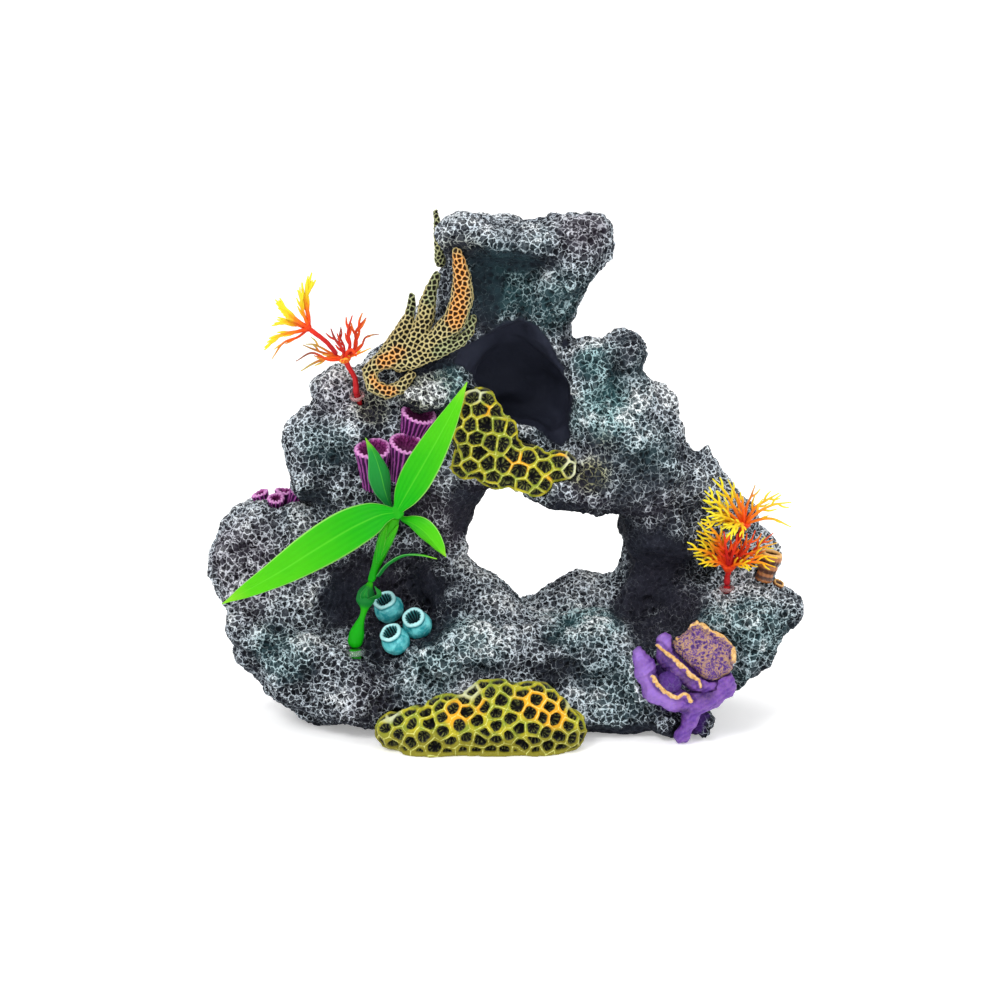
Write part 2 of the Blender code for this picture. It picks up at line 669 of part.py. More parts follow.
plate_upper = lump("plate_coral_upper", [
    ("a", (62.2, -29.0, 37.0), (4.2, 4.2, 4.0), 15),
    ("b", (67.5, -29.0, 32.6), (6.0, 4.5, 5.0), 30),
    ("c", (63.9, -30.0, 29.5), (7.5, 4.7, 5.6), 25),
    ("d", (71.4, -29.0, 29.2), (4.0, 4.2, 4.6), 20),
    ("e", (57.4, -29.0, 32.6), (4.2, 4.0, 3.8), 30),
    ("f", (65.9, -30.0, 24.5), (5.2, 4.4, 3.8), 35),
    ("g", (70.5, -29.0, 26.2), (4.6, 4.2, 4.2), 0),
], 80, VIOLET, ratio=0.13)
plate_middle = lump("plate_coral_middle", [
    ("a", (52.0, -27.0, 33.1), (3.5, 5.0, 3.5), 20),
    ("b", (53.0, -28.0, 27.9), (5.0, 6.0, 4.0), 40),
    ("c", (56.9, -29.0, 24.2), (6.0, 6.5, 4.0), 35),
    ("d", (61.5, -29.0, 20.8), (6.5, 6.5, 3.8), 25),
    ("e", (66.2, -28.0, 18.8), (6.0, 6.0, 3.5), -10),
], 85, VIOLET, ratio=0.14)
plate_lower = lump("plate_coral_lower", [
    ("tip", (43.3, -27.0, 28.7), (2.6, 4.0, 3.6), 20),
    ("left", (45.5, -29.0, 24.5), (4.0, 5.5, 5.5), 25),
    ("left_low", (48.7, -31.0, 18.0), (5.0, 6.0, 5.0), 35),
    ("mid", (54.9, -32.0, 15.3), (7.0, 6.0, 4.5), 10),
    ("right", (63.4, -31.0, 14.6), (7.0, 6.0, 4.5), -20),
    ("right_up", (71.3, -29.0, 19.4), (4.6, 5.5, 5.6), -35),
    ("right_low", (66.8, -30.0, 15.0), (5.0, 5.5, 4.4), -30),
    ("stalk", (60.4, -30.0, 8.2), (3.6, 5.0, 5.0), 10),
    ("stalk_low", (57.8, -30.0, 2.4), (3.4, 4.5, 3.6), 10),
], 90, VIOLET, ratio=0.13)
boolean(plate_lower, floor_cut)
plate_seats = [grown(plate_upper), grown(plate_middle), grown(plate_lower)]
cut_away(plate_middle, plate_seats[0], solver="EXACT")
cut_away(plate_lower, plate_seats[0], plate_seats[1], solver="EXACT")

# Finger sponge: five tapered fingers and a hooked one from one root.
FINGERS = [
    ([(-15.3, -19.0, 159.0), (-13.5, -16.0, 148.2), (-15.5, -14.5, 137.7), (-23.9, -13.0, 128.8), (-33.8, -11.0, 122.3)], (1.6, 3.6, 4.0, 3.6, 3.2)),
    ([(-22.0, -9.0, 150.6), (-24.6, -10.0, 144.0), (-26.2, -11.0, 135.7), (-32.5, -10.5, 124.8)], (1.4, 2.9, 3.2, 3.4)),
    ([(-30.2, -7.0, 143.9), (-30.5, -8.0, 139.2), (-33.4, -9.5, 131.9), (-38.0, -10.0, 123.8)], (1.0, 2.0, 3.4, 3.8)),
    ([(-10.3, -13.5, 137.3), (-12.6, -14.0, 131.2), (-20.0, -14.0, 127.0), (-30.8, -12.5, 122.5)], (1.2, 2.0, 2.2, 2.4)),
    ([(-35.4, -11.0, 123.9), (-42.5, -11.0, 122.0), (-44.2, -11.0, 117.4), (-41.0, -11.5, 113.5), (-35.4, -12.0, 113.3), (-30.5, -11.5, 118.4)], (3.4, 3.0, 2.7, 2.6, 2.4, 1.6)),
]
fingers = [
    bar("finger_sponge" if i == 0 else f"finger_{i}", path, radii, OLIVE, 8, 7, (0, 1, 0), (1, 1))
    for i, (path, radii) in enumerate(FINGERS)
]
finger_sponge = unite(fingers[0], fingers[1:])
crown_finger = bar("crown_finger", [(-22.5, -3.0, 170.7), (-22.0, -3.5, 167.2), (-21.7, -4.0, 161.7), (-21.1, -3.0, 154.2)],
                   (0.8, 1.4, 1.5, 1.9), OLIVE, 8, 7, (0, 1, 0), (1, 1))

cup_large = turned("cup_coral_large", [
    (0, 0), (2.6, 0.2), (3.0, 1.6), (2.7, 3.0), (3.6, 5.0), (3.3, 6.6), (3.9, 8.2), (3.7, 10.2),
    (2.9, 10.6), (2.5, 9.4), (2.2, 5.4), (0, 4.6),
], (86.6, -0.5, 46.9), (0.28, -0.05, 1.0), RUST, 16)
cup_small = turned("cup_coral_small", [
    (0, 0), (1.4, 0.2), (1.7, 2.6), (2.0, 3.6), (1.4, 4.0), (1.0, 3.0), (0, 2.6),
], (90.6, 4.0, 42.6), (0.5, -0.35, 0.8), RUST, 12)

# ---------------------------------------------------- plugs and glue beads

green_base = Vector((-49.4, -18.5, 31.0))
left_base = Vector((-48.7, -8.0, 112.6))
right_base = Vector((74.2, -4.0, 47.4))


def plug(name, top, axis, radius, length, mat):
    return turned(name, [(0, 0), (radius * 0.8, 0), (radius, 0.5), (radius, length), (0, length)],
                  top - Vector(axis).normalized() * length, axis, mat, 14)


GREEN_AXIS = (0.0, 0.0, 1.0)
LEFT_AXIS = (-0.10, -0.60, 0.80)
RIGHT_AXIS = (0.0, -0.15, 1.0)


def along(base, axis, d):
    return base + Vector(axis).normalized() * d


green_plug = plug("green_plant_plug", along(green_base, GREEN_AXIS, -2.9), GREEN_AXIS, 2.0, 7.0, GREEN)
green_bead = collar("green_plant_glue_bead", along(green_base, GREEN_AXIS, -4.6), GREEN_AXIS, 2.35, 3.7, 2.0, CLEAR)
left_plug = plug("left_fire_plant_plug", along(left_base, LEFT_AXIS, -1.25), LEFT_AXIS, 1.1, 5.5, FIRE)
left_bead = collar("left_fire_plant_glue_bead", along(left_base, LEFT_AXIS, -2.9), LEFT_AXIS, 1.45, 2.6, 1.6, CLEAR)
right_plug = plug("right_fire_plant_plug", along(right_base, RIGHT_AXIS, -1.45), RIGHT_AXIS, 1.2, 5.5, FIRE)
right_bead = collar("right_fire_plant_glue_bead", along(right_base, RIGHT_AXIS, -3.1), RIGHT_AXIS, 1.55, 2.7, 1.6, CLEAR)

# ------------------------------------------------------------ the green plant

# The stem stands on a ball-shaped foot at the sway pivot and ends just under
# the ball foot of the upper stem, at the crown pivot.
green_crown = Vector((-43.6, -20.5, 52.6))
green_hub = Vector((-35.3, -23.0, 75.2))
green_stem = bar("green_plant_stem", [green_base, (-48.3, -18.8, 35.5), (-46.3, -19.3, 41.5), (-45.5, -19.8, 47.3),
                                      green_crown - Vector((0.55, 0.0, 1.75))],
                 (2.5, 2.2, 1.6, 1.2, 2.1, 2.7, 1.2), GREEN, 8, 12, (0, 1, 0), (1, 0))
green_thin = blade("green_thin_leaf", [(-41.1, -21.5, 53.8), (-38.0, -23.5, 58.0), (-32.7, -25.5, 61.5), (-27.2, -27.0, 62.0), (-22.0, -28.0, 61.1)],
                   (3.2, 3.0, 2.6, 2.2, 1.6, 0.4), 0.9, (0.1, -0.8, 0.6), 0.25, GREEN, 10)
green_upper = bar("green_plant_upper_stem", [green_crown, (-41.4, -21.2, 59.1), (-38.7, -22.0, 67.0), green_hub - Vector((0.5, 0, 1.6))],
                  (1.3, 1.55, 2.1, 2.6, 1.8), GREEN, 8, 8, (0, 1, 0), (1, 0))


def disc(name, centre, axis, radius, thick, mat):
    return turned(name, [(0, 0), (radius, 0), (radius, thick), (0, thick)], centre, axis, mat, 12)


HUB_AXIS = (0.30, -0.05, 1.0)
FRONT = (0.0, -1.0, 0.15)
short_hub = disc("green_leaf_pair_short", along(green_hub, HUB_AXIS, -0.9), HUB_AXIS, 1.9, 1.8, GREEN)
leaf_d = blade("leaf_d", [along(green_hub, HUB_AXIS, 0.0), (-33.0, -23.8, 73.3), (-30.4, -25.5, 72.7), (-27.4, -27.5, 71.5), (-24.5, -29.0, 69.2), (-21.6, -29.5, 65.7), (-19.0, -29.5, 62.1)],
               (1.6, 2.4, 5.2, 7.0, 6.6, 4.2, 0.5), 1.0, (0.5, -0.3, 0.8), 0.3, GREEN, 11)
leaf_c = blade("leaf_c", [along(green_hub, HUB_AXIS, 0.0), (-37.2, -22.2, 77.3), (-38.9, -22.6, 82.0), (-40.3, -23.4, 88.4), (-42.1, -24.2, 94.5), (-44.7, -25.0, 100.2)],
               (1.6, 3.0, 6.4, 7.4, 5.4, 2.8, 0.5), 1.0, (1.0, 0.35, 0.3), -0.35, GREEN, 11)
leaf_short = unite(short_hub, [leaf_d, leaf_c])
long_centre = green_hub + Vector((0.4, -2.7, 0.8))
long_hub = disc("green_leaf_pair_long", long_centre, FRONT, 2.3, 1.5, GREEN)
leaf_a = blade("leaf_a", [along(long_centre, FRONT, 0.75), (-40.2, -28.0, 75.6), (-46.1, -31.0, 73.6), (-51.5, -33.0, 71.1), (-61.3, -35.5, 65.5), (-73.1, -36.5, 58.2), (-90.6, -36.0, 48.2)],
               (2.8, 10.0, 13.0, 13.4, 12.2, 10.0, 7.2, 4.2, 0.6), 1.1, (-0.45, 0.12, 0.87), 0.12, GREEN, 14)
leaf_b = blade("leaf_b", [along(long_centre, FRONT, 0.75), (-31.5, -27.0, 82.3), (-27.3, -27.5, 89.9), (-22.1, -27.5, 99.0), (-16.9, -28.0, 108.8), (-12.1, -27.0, 118.6)],
               (2.8, 8.0, 10.6, 10.8, 9.7, 8.0, 5.8, 3.2, 0.6), 1.1, (0.85, -0.2, 0.5), 0.14, GREEN, 14)
leaf_long = unite(long_hub, [leaf_a, leaf_b])
green_bud = bar("green_plant_bud", [along(green_hub, HUB_AXIS, 1.25), along(green_hub, HUB_AXIS, 3.2), along(green_hub, HUB_AXIS, 5.0)],
                (1.2, 1.0, 0.4), GREEN, 8, 4, (0, 1, 0), (0, 1))

# ------------------------------------------------------------- the fire plants


def tuft(name, centre, axis, radius, arms):
    """A pressed-on whorl: a small cup with tapering, curving arms."""
    hub = turned(name, [(0, 0), (radius * 0.55, 0), (radius, radius * 0.9), (0, radius * 0.9)],
                 centre, axis, FIRE, 10)
    top = along(Vector(centre), axis, radius * 0.5)
    others = []
    for i, (path, r) in enumerate(arms):
        pts = [top] + [Vector(p) for p in path]
        others.append(bar(f"{name}_arm_{i}", pts, (r, r, r * 0.8, r * 0.45), FIRE, 5, 4, (0, 0.3, 1), (0, 0)))
    return unite(hub, others)


left_hub = Vector((-51.4, -13.0, 122.9))
left_axis = (-0.30, -0.30, 0.90)
left_stem = bar("left_fire_plant_stem", [left_base, (-48.8, -9.8, 116.9), (-50.4, -11.8, 120.5), along(left_hub, left_axis, -0.4)],
                (0.85, 0.8, 0.8, 0.8), FIRE, 8, 7, (0, 1, 0), (1, 0))
left_lower = tuft("left_fire_plant_lower_tuft", left_hub, left_axis, 2.3, [
    ([(-56.1, -14.5, 124.5), (-60.9, -15.5, 123.3), (-65.8, -15.5, 120.4)], 0.75),
    ([(-56.6, -17.0, 125.5), (-61.3, -18.5, 125.4), (-66.1, -19.0, 124.5)], 0.7),
    ([(-55.5, -10.5, 125.5), (-60.7, -9.5, 126.7), (-65.6, -9.0, 127.6)], 0.7),
    ([(-52.4, -16.5, 128.6), (-53.9, -18.0, 131.4), (-55.4, -18.5, 134.1)], 0.65),
    ([(-52.1, -12.0, 129.0), (-52.7, -11.5, 131.5), (-53.3, -11.5, 134.1)], 0.65),
    ([(-50.0, -14.5, 128.3), (-49.9, -15.0, 133.0), (-49.5, -15.5, 137.5)], 0.7),
    ([(-48.2, -12.0, 128.0), (-47.5, -11.5, 132.5), (-45.2, -11.5, 136.7)], 0.7),
    ([(-46.7, -15.5, 127.8), (-44.0, -17.0, 131.0), (-40.7, -18.0, 132.7)], 0.65),
])
left_pivot = along(left_hub, (-0.8, -0.1, 0.75), 4.6)
left_top = Vector((-62.5, -15.5, 133.7))
left_upper_stem = bar("left_fire_plant_upper_stem", [left_pivot, (-57.7, -14.6, 129.8), along(left_top, (0.75, 0, -0.6), 0.35)],
                      (0.8, 0.75, 0.75), FIRE, 8, 6, (0, 1, 0), (1, 0))
left_crest = tuft("left_fire_plant_upper_tuft", left_top, (-0.8, 0.0, 0.6), 1.5, [
    ([(-62.6, -15.5, 138.8), (-62.8, -16.0, 144.0), (-61.1, -16.0, 149.2)], 1.2),
    ([(-64.9, -17.5, 141.7), (-64.8, -18.5, 145.0), (-64.4, -19.0, 147.3)], 0.8),
    ([(-67.0, -16.5, 137.0), (-69.8, -17.0, 139.3), (-71.6, -17.5, 142.3)], 1.2),
    ([(-68.6, -14.0, 135.4), (-71.2, -13.0, 135.0), (-73.9, -12.5, 134.6)], 1.0),
    ([(-67.4, -16.5, 132.8), (-72.2, -17.5, 131.4), (-76.7, -18.0, 127.9)], 1.0),
    ([(-67.0, -14.0, 130.9), (-71.4, -12.5, 128.7), (-75.1, -11.5, 124.7)], 0.8),
])

right_hub = Vector((74.4, -5.5, 51.6))
right_axis = (0.0, -0.15, 1.0)
right_stem = bar("right_fire_plant_stem", [right_base, (74.2, -4.6, 49.5), along(right_hub, right_axis, -0.4)],
                 (1.0, 0.95, 0.9), FIRE, 8, 4, (0, 1, 0), (1, 0))
right_lower = tuft("right_fire_plant_lower_tuft", right_hub, right_axis, 2.5, [
    ([(70.2, -9.0, 56.2), (66.9, -12.0, 56.9), (64.1, -14.0, 56.7)], 0.8),
    ([(69.3, -8.0, 57.3), (65.0, -10.5, 59.9), (60.6, -12.0, 60.6)], 0.8),
    ([(69.6, -7.5, 59.2), (66.8, -9.0, 62.3), (63.6, -10.0, 64.9)], 0.8),
    ([(70.7, -9.0, 61.9), (67.8, -11.0, 66.5), (64.7, -12.0, 69.7)], 0.8),
    ([(72.8, -12.0, 60.3), (71.9, -14.0, 63.8), (71.0, -15.0, 66.7)], 0.8),
    ([(78.8, -11.5, 59.5), (80.8, -13.5, 64.0), (81.3, -14.0, 66.8)], 0.8),
    ([(80.5, -8.0, 57.6), (84.4, -8.5, 61.5), (88.6, -8.5, 64.5)], 0.8),
    ([(80.3, -10.5, 56.5), (84.6, -13.0, 58.1), (89.4, -14.0, 57.4)], 0.8),
    ([(77.3, -10.5, 55.2), (79.3, -13.5, 55.2), (80.8, -15.0, 54.6)], 0.8),
])
right_pivot = along(right_hub, (0.10, 0.15, 1.0), 5.6)
right_top = Vector((78.6, -8.5, 66.9))
right_upper_stem = bar("right_fire_plant_upper_stem", [right_pivot, (76.7, -6.2, 60.6), along(right_top, (-0.3, 0, -0.95), 0.35)],
                       (0.9, 0.85, 0.85), FIRE, 8, 5, (0, 1, 0), (1, 0))
right_crest = tuft("right_fire_plant_upper_tuft", right_top, (0.25, -0.1, 1.0), 2.0, [
    ([(75.0, -9.5, 74.6), (72.2, -10.5, 79.5), (68.5, -11.0, 83.9)], 0.85),
    ([(76.9, -7.5, 75.2), (75.2, -7.0, 79.1), (73.1, -7.0, 82.5)], 0.75),
    ([(73.6, -11.0, 72.5), (69.4, -13.0, 75.7), (65.3, -14.0, 78.5)], 0.85),
    ([(73.6, -12.0, 70.7), (69.6, -15.0, 72.1), (66.3, -16.0, 72.6)], 0.8),
    ([(76.3, -14.0, 69.5), (74.7, -17.0, 67.8), (73.7, -18.0, 65.4)], 0.8),
    ([(79.7, -9.0, 74.5), (80.9, -9.0, 77.8), (81.8, -9.0, 81.2)], 0.75),
    ([(82.4, -8.5, 73.7), (86.3, -8.5, 76.4), (90.2, -8.5, 78.4)], 0.8),
    ([(82.8, -11.0, 72.5), (87.6, -12.0, 75.4), (93.8, -12.0, 76.4)], 0.75),
    ([(83.1, -9.0, 69.7), (88.3, -9.5, 70.2), (94.3, -9.5, 67.5)], 0.75),
])

# ------------------------------------------------- seats and sockets in the rock

bake(rock)
largest_body(rock)
for piece in (honey_upper, honey_lower, finger_sponge, plate_upper, plate_middle, plate_lower):
    seats.append(grown(piece, GAP + 0.5, True))
for piece in (vase_back, vase_right, vase_front, crown_finger, cup_large, cup_small,
              green_plug, green_bead, left_plug, left_bead, right_plug, right_bead):
    seats.append(grown(piece))
for name, pivot, radius in (("green", green_base, 3.5), ("left", left_base, 1.5), ("right", right_base, 1.7)):
    well = bar(name + "_well", [pivot, pivot + Vector((0, 0, 0.8)), pivot + Vector((0, 0, 1.6))],
               (radius, radius * 1.1, radius * 1.2), None, 12, 3, (0, 1, 0), (1, 0))
    seats.append(hide(well))
cut_away(rock, *seats)
rock.data.shade_smooth()

# Guides and cutters aren't part of the object.
for obj in list(bpy.data.objects):
    if obj.hide_render:
        bpy.data.objects.remove(obj, do_unlink=True)

# The origin goes to the middle of the footprint, and each moving piece's own
# origin to the point that it bends about.
corners = [v.co for obj in bpy.data.objects for v in obj.data.vertices]
middle = Vector((
    (min(c.x for c in corners) + max(c.x for c in corners)) / 2,
    (min(c.y for c in corners) + max(c.y for c in corners)) / 2,
    min(c.z for c in corners),
))
for obj in bpy.data.objects:
    obj.data.transform(Matrix.Translation(-middle))

PIVOTS = {
    "green_stem_sway": (green_base, (green_stem, green_thin)),
    "green_crown_bend": (green_crown, (green_upper, leaf_short, leaf_long, green_bud)),
    "left_stem_sway": (left_base, (left_stem, left_lower)),
    "left_upper_bend": (left_pivot, (left_upper_stem, left_crest)),
    "right_stem_sway": (right_base, (right_stem, right_lower)),
    "right_upper_bend": (right_pivot, (right_upper_stem, right_crest)),
}
for pivot, movers in PIVOTS.values():
    at = Vector(pivot) * MM - middle
    for obj in movers:
        obj.data.transform(Matrix.Translation(-at))
        obj.location = at
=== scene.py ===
"""Visual model of the resin cave ornament: pitted rock, bonded corals and
sponges, and three soft plastic plants.  Lengths are in millimetres inside the
script and become metres when a mesh is made."""

import itertools
import math
import random

import bmesh
import bpy
import numpy as np
from mathutils import Matrix, Vector
from mathutils.kdtree import KDTree


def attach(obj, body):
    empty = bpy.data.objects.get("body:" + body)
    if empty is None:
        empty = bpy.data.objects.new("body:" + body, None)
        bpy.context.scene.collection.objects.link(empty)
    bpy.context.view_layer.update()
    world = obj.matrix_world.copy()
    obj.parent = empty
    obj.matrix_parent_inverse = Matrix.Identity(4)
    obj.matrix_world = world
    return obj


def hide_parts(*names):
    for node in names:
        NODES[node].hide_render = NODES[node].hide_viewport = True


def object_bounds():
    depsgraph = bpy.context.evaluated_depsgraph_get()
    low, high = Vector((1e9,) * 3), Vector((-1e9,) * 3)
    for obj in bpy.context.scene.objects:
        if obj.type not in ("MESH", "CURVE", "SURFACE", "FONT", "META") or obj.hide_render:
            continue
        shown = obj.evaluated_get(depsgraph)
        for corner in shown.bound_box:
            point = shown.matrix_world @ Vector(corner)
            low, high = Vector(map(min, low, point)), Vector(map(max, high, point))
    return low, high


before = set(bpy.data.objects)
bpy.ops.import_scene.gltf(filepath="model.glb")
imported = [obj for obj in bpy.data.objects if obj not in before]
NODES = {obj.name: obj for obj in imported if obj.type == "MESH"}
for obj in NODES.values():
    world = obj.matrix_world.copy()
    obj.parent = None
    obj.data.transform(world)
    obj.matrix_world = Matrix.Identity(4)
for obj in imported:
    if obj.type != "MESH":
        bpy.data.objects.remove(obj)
cad_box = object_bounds()
MM = 0.001

# ------------------------------------------------------------------- numbers


def smoothstep(a, b, x):
    t = np.clip((x - a) / (b - a), 0.0, 1.0)
    return t * t * (3 - 2 * t)


def hashed(c, seed):
    """Three even numbers in 0..1 for each whole-number cell."""
    c = c.astype(np.int64)
    h = (c[:, 0] * 73856093) ^ (c[:, 1] * 19349663) ^ (c[:, 2] * 83492791) ^ (seed * 2654435761)
    out = []
    for k in range(3):
        h = (h ^ (h >> 15)) * 2246822519 & 0xFFFFFFFF
        h = (h ^ (h >> 13)) * 3266489917 & 0xFFFFFFFF
        h = h ^ (h >> 16)
        out.append(h.astype(np.float64) / 4294967296.0)
        h = h + 374761393 * (k + 1)
    return np.stack(out, 1)


def noise(p, size, seed=0, octaves=1):
    """Smooth value noise about -1..1."""
    total, amp, norm = np.zeros(len(p)), 1.0, 0.0
    for o in range(octaves):
        q = p / size
        base = np.floor(q)
        f = q - base
        f = f * f * (3 - 2 * f)
        value = np.zeros(len(p))
        for d in itertools.product((0, 1), repeat=3):
            w = np.ones(len(p))
            for k in range(3):
                w = w * (f[:, k] if d[k] else 1 - f[:, k])
            value += w * hashed(base + d, seed + 17 * o)[:, 0]
        total += amp * (value * 2 - 1)
        norm += amp
        amp *= 0.5
        size = size / 2
    return total / norm * 1.4


def cells(p, size, seed, jitter=0.95):
    """Distance to the wall between the nearest two seeds, distance to the
    nearest seed, and that seed's own random number."""
    q = p / size
    base = np.floor(q)
    n = len(p)
    f1, f2 = np.full(n, 9.0), np.full(n, 9.0)
    own = np.zeros(n)
    for d in itertools.product((-1, 0, 1), repeat=3):
        c = base + d
        r = hashed(c, seed)
        v = c + 0.5 + (r - 0.5) * jitter - q
        dist = np.sqrt((v * v).sum(1))
        nearer = dist < f1
        f2 = np.where(nearer, f1, np.minimum(f2, dist))
        own = np.where(nearer, r[:, 0], own)
        f1 = np.where(nearer, dist, f1)
    return (f2 - f1) * size / 2, f1 * size, own


def inside(p, centre, radii, tilt=0.0):
    """How far out a point lies in an ellipsoid tilted in the front plane: 1 on it."""
    v = p - np.array(centre, float)
    a = math.radians(tilt)
    x = v[:, 0] * math.cos(a) + v[:, 2] * math.sin(a)
    z = -v[:, 0] * math.sin(a) + v[:, 2] * math.cos(a)
    return np.sqrt((x / radii[0]) ** 2 + (v[:, 1] / radii[1]) ** 2 + (z / radii[2]) ** 2)


def near_line(p, line):
    """Distance from each point to a polyline."""
    best = np.full(len(p), 1e9)
    for a, b in zip(line, line[1:]):
        a, b = np.array(a, float), np.array(b, float)
        ab = b - a
        t = np.clip(((p - a) @ ab) / (ab @ ab), 0, 1)
        best = np.minimum(best, np.sqrt(((p - a - t[:, None] * ab) ** 2).sum(1)))
    return best


# -------------------------------------------------------------------- meshes


def link(name, mesh):
    obj = bpy.data.objects.new(name, mesh)
    bpy.context.scene.collection.objects.link(obj)
    return obj


def points(mesh):
    co = np.empty(len(mesh.vertices) * 3, np.float32)
    mesh.vertices.foreach_get("co", co)
    return co.reshape(-1, 3).astype(np.float64) / MM


def normals(mesh):
    no = np.empty(len(mesh.vertices) * 3, np.float32)
    mesh.vertices.foreach_get("normal", no)
    return no.reshape(-1, 3).astype(np.float64)


def edges(mesh):
    ed = np.empty(len(mesh.edges) * 2, np.int32)
    mesh.edges.foreach_get("vertices", ed)
    return ed.reshape(-1, 2)


def move(mesh, co):
    mesh.vertices.foreach_set("co", (co * MM).astype(np.float32).ravel())
    mesh.update()


def relax(values, ed, rounds, factor=0.5, back=0.0):
    """Average over neighbours; back > 0 undoes the shrinking of a shape."""
    n = len(values)
    a, b = ed[:, 0], ed[:, 1]
    deg = np.maximum(np.bincount(a, minlength=n) + np.bincount(b, minlength=n), 1)
    for _ in range(rounds):
        for f in (factor, -back) if back else (factor,):
            mean = np.stack(
                [
                    (np.bincount(a, values[b, k], n) + np.bincount(b, values[a, k], n)) / deg
                    for k in range(values.shape[1])
                ],
                1,
            )
            values = values + f * (mean - values)
    return values


def store(mesh, name, *channels):
    """Up to three numbers for each vertex, which the material reads."""
    data = np.ones((len(mesh.vertices), 4), np.float32)
    data[:, :3] = 0
    for k, c in enumerate(channels):
        data[:, k] = c
    layer = mesh.attributes.new(name, "FLOAT_COLOR", "POINT")
    layer.data.foreach_set("color", data.ravel())


def even(node, voxel, extra=None):
    """The CAD node's shape as a fine, even mesh."""
    bm = bmesh.new()
    bm.from_mesh(NODES[node].data)
    bmesh.ops.remove_doubles(bm, verts=bm.verts, dist=1e-6)
    mesh = bpy.data.meshes.new(node + "_even")
    bm.to_mesh(mesh)
    bm.free()
    obj = link(node + "_even", mesh)
    if extra:
        extra(obj)
    mod = obj.modifiers.new("even", "REMESH")
    mod.mode = "VOXEL"
    mod.voxel_size = voxel * MM
    mod.use_smooth_shade = True
    graph = bpy.context.evaluated_depsgraph_get()
    out = bpy.data.meshes.new_from_object(obj.evaluated_get(graph))
    bpy.data.objects.remove(obj, do_unlink=True)
    out.materials.clear()
    for layer in list(out.attributes):
        if layer.name.startswith("COLOR") or layer.name.startswith("UV"):
            out.attributes.remove(layer)
    return out


def piece(name, mesh, mat, body, slot, *replaced, smooth=True):
    mesh.materials.clear()
    mesh.materials.append(mat)
    if smooth:
        mesh.shade_smooth()
    obj = link(name, mesh)
    if replaced:
        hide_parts(*replaced)
    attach(obj, body)
    return obj


# ----------------------------------------------------------------- materials


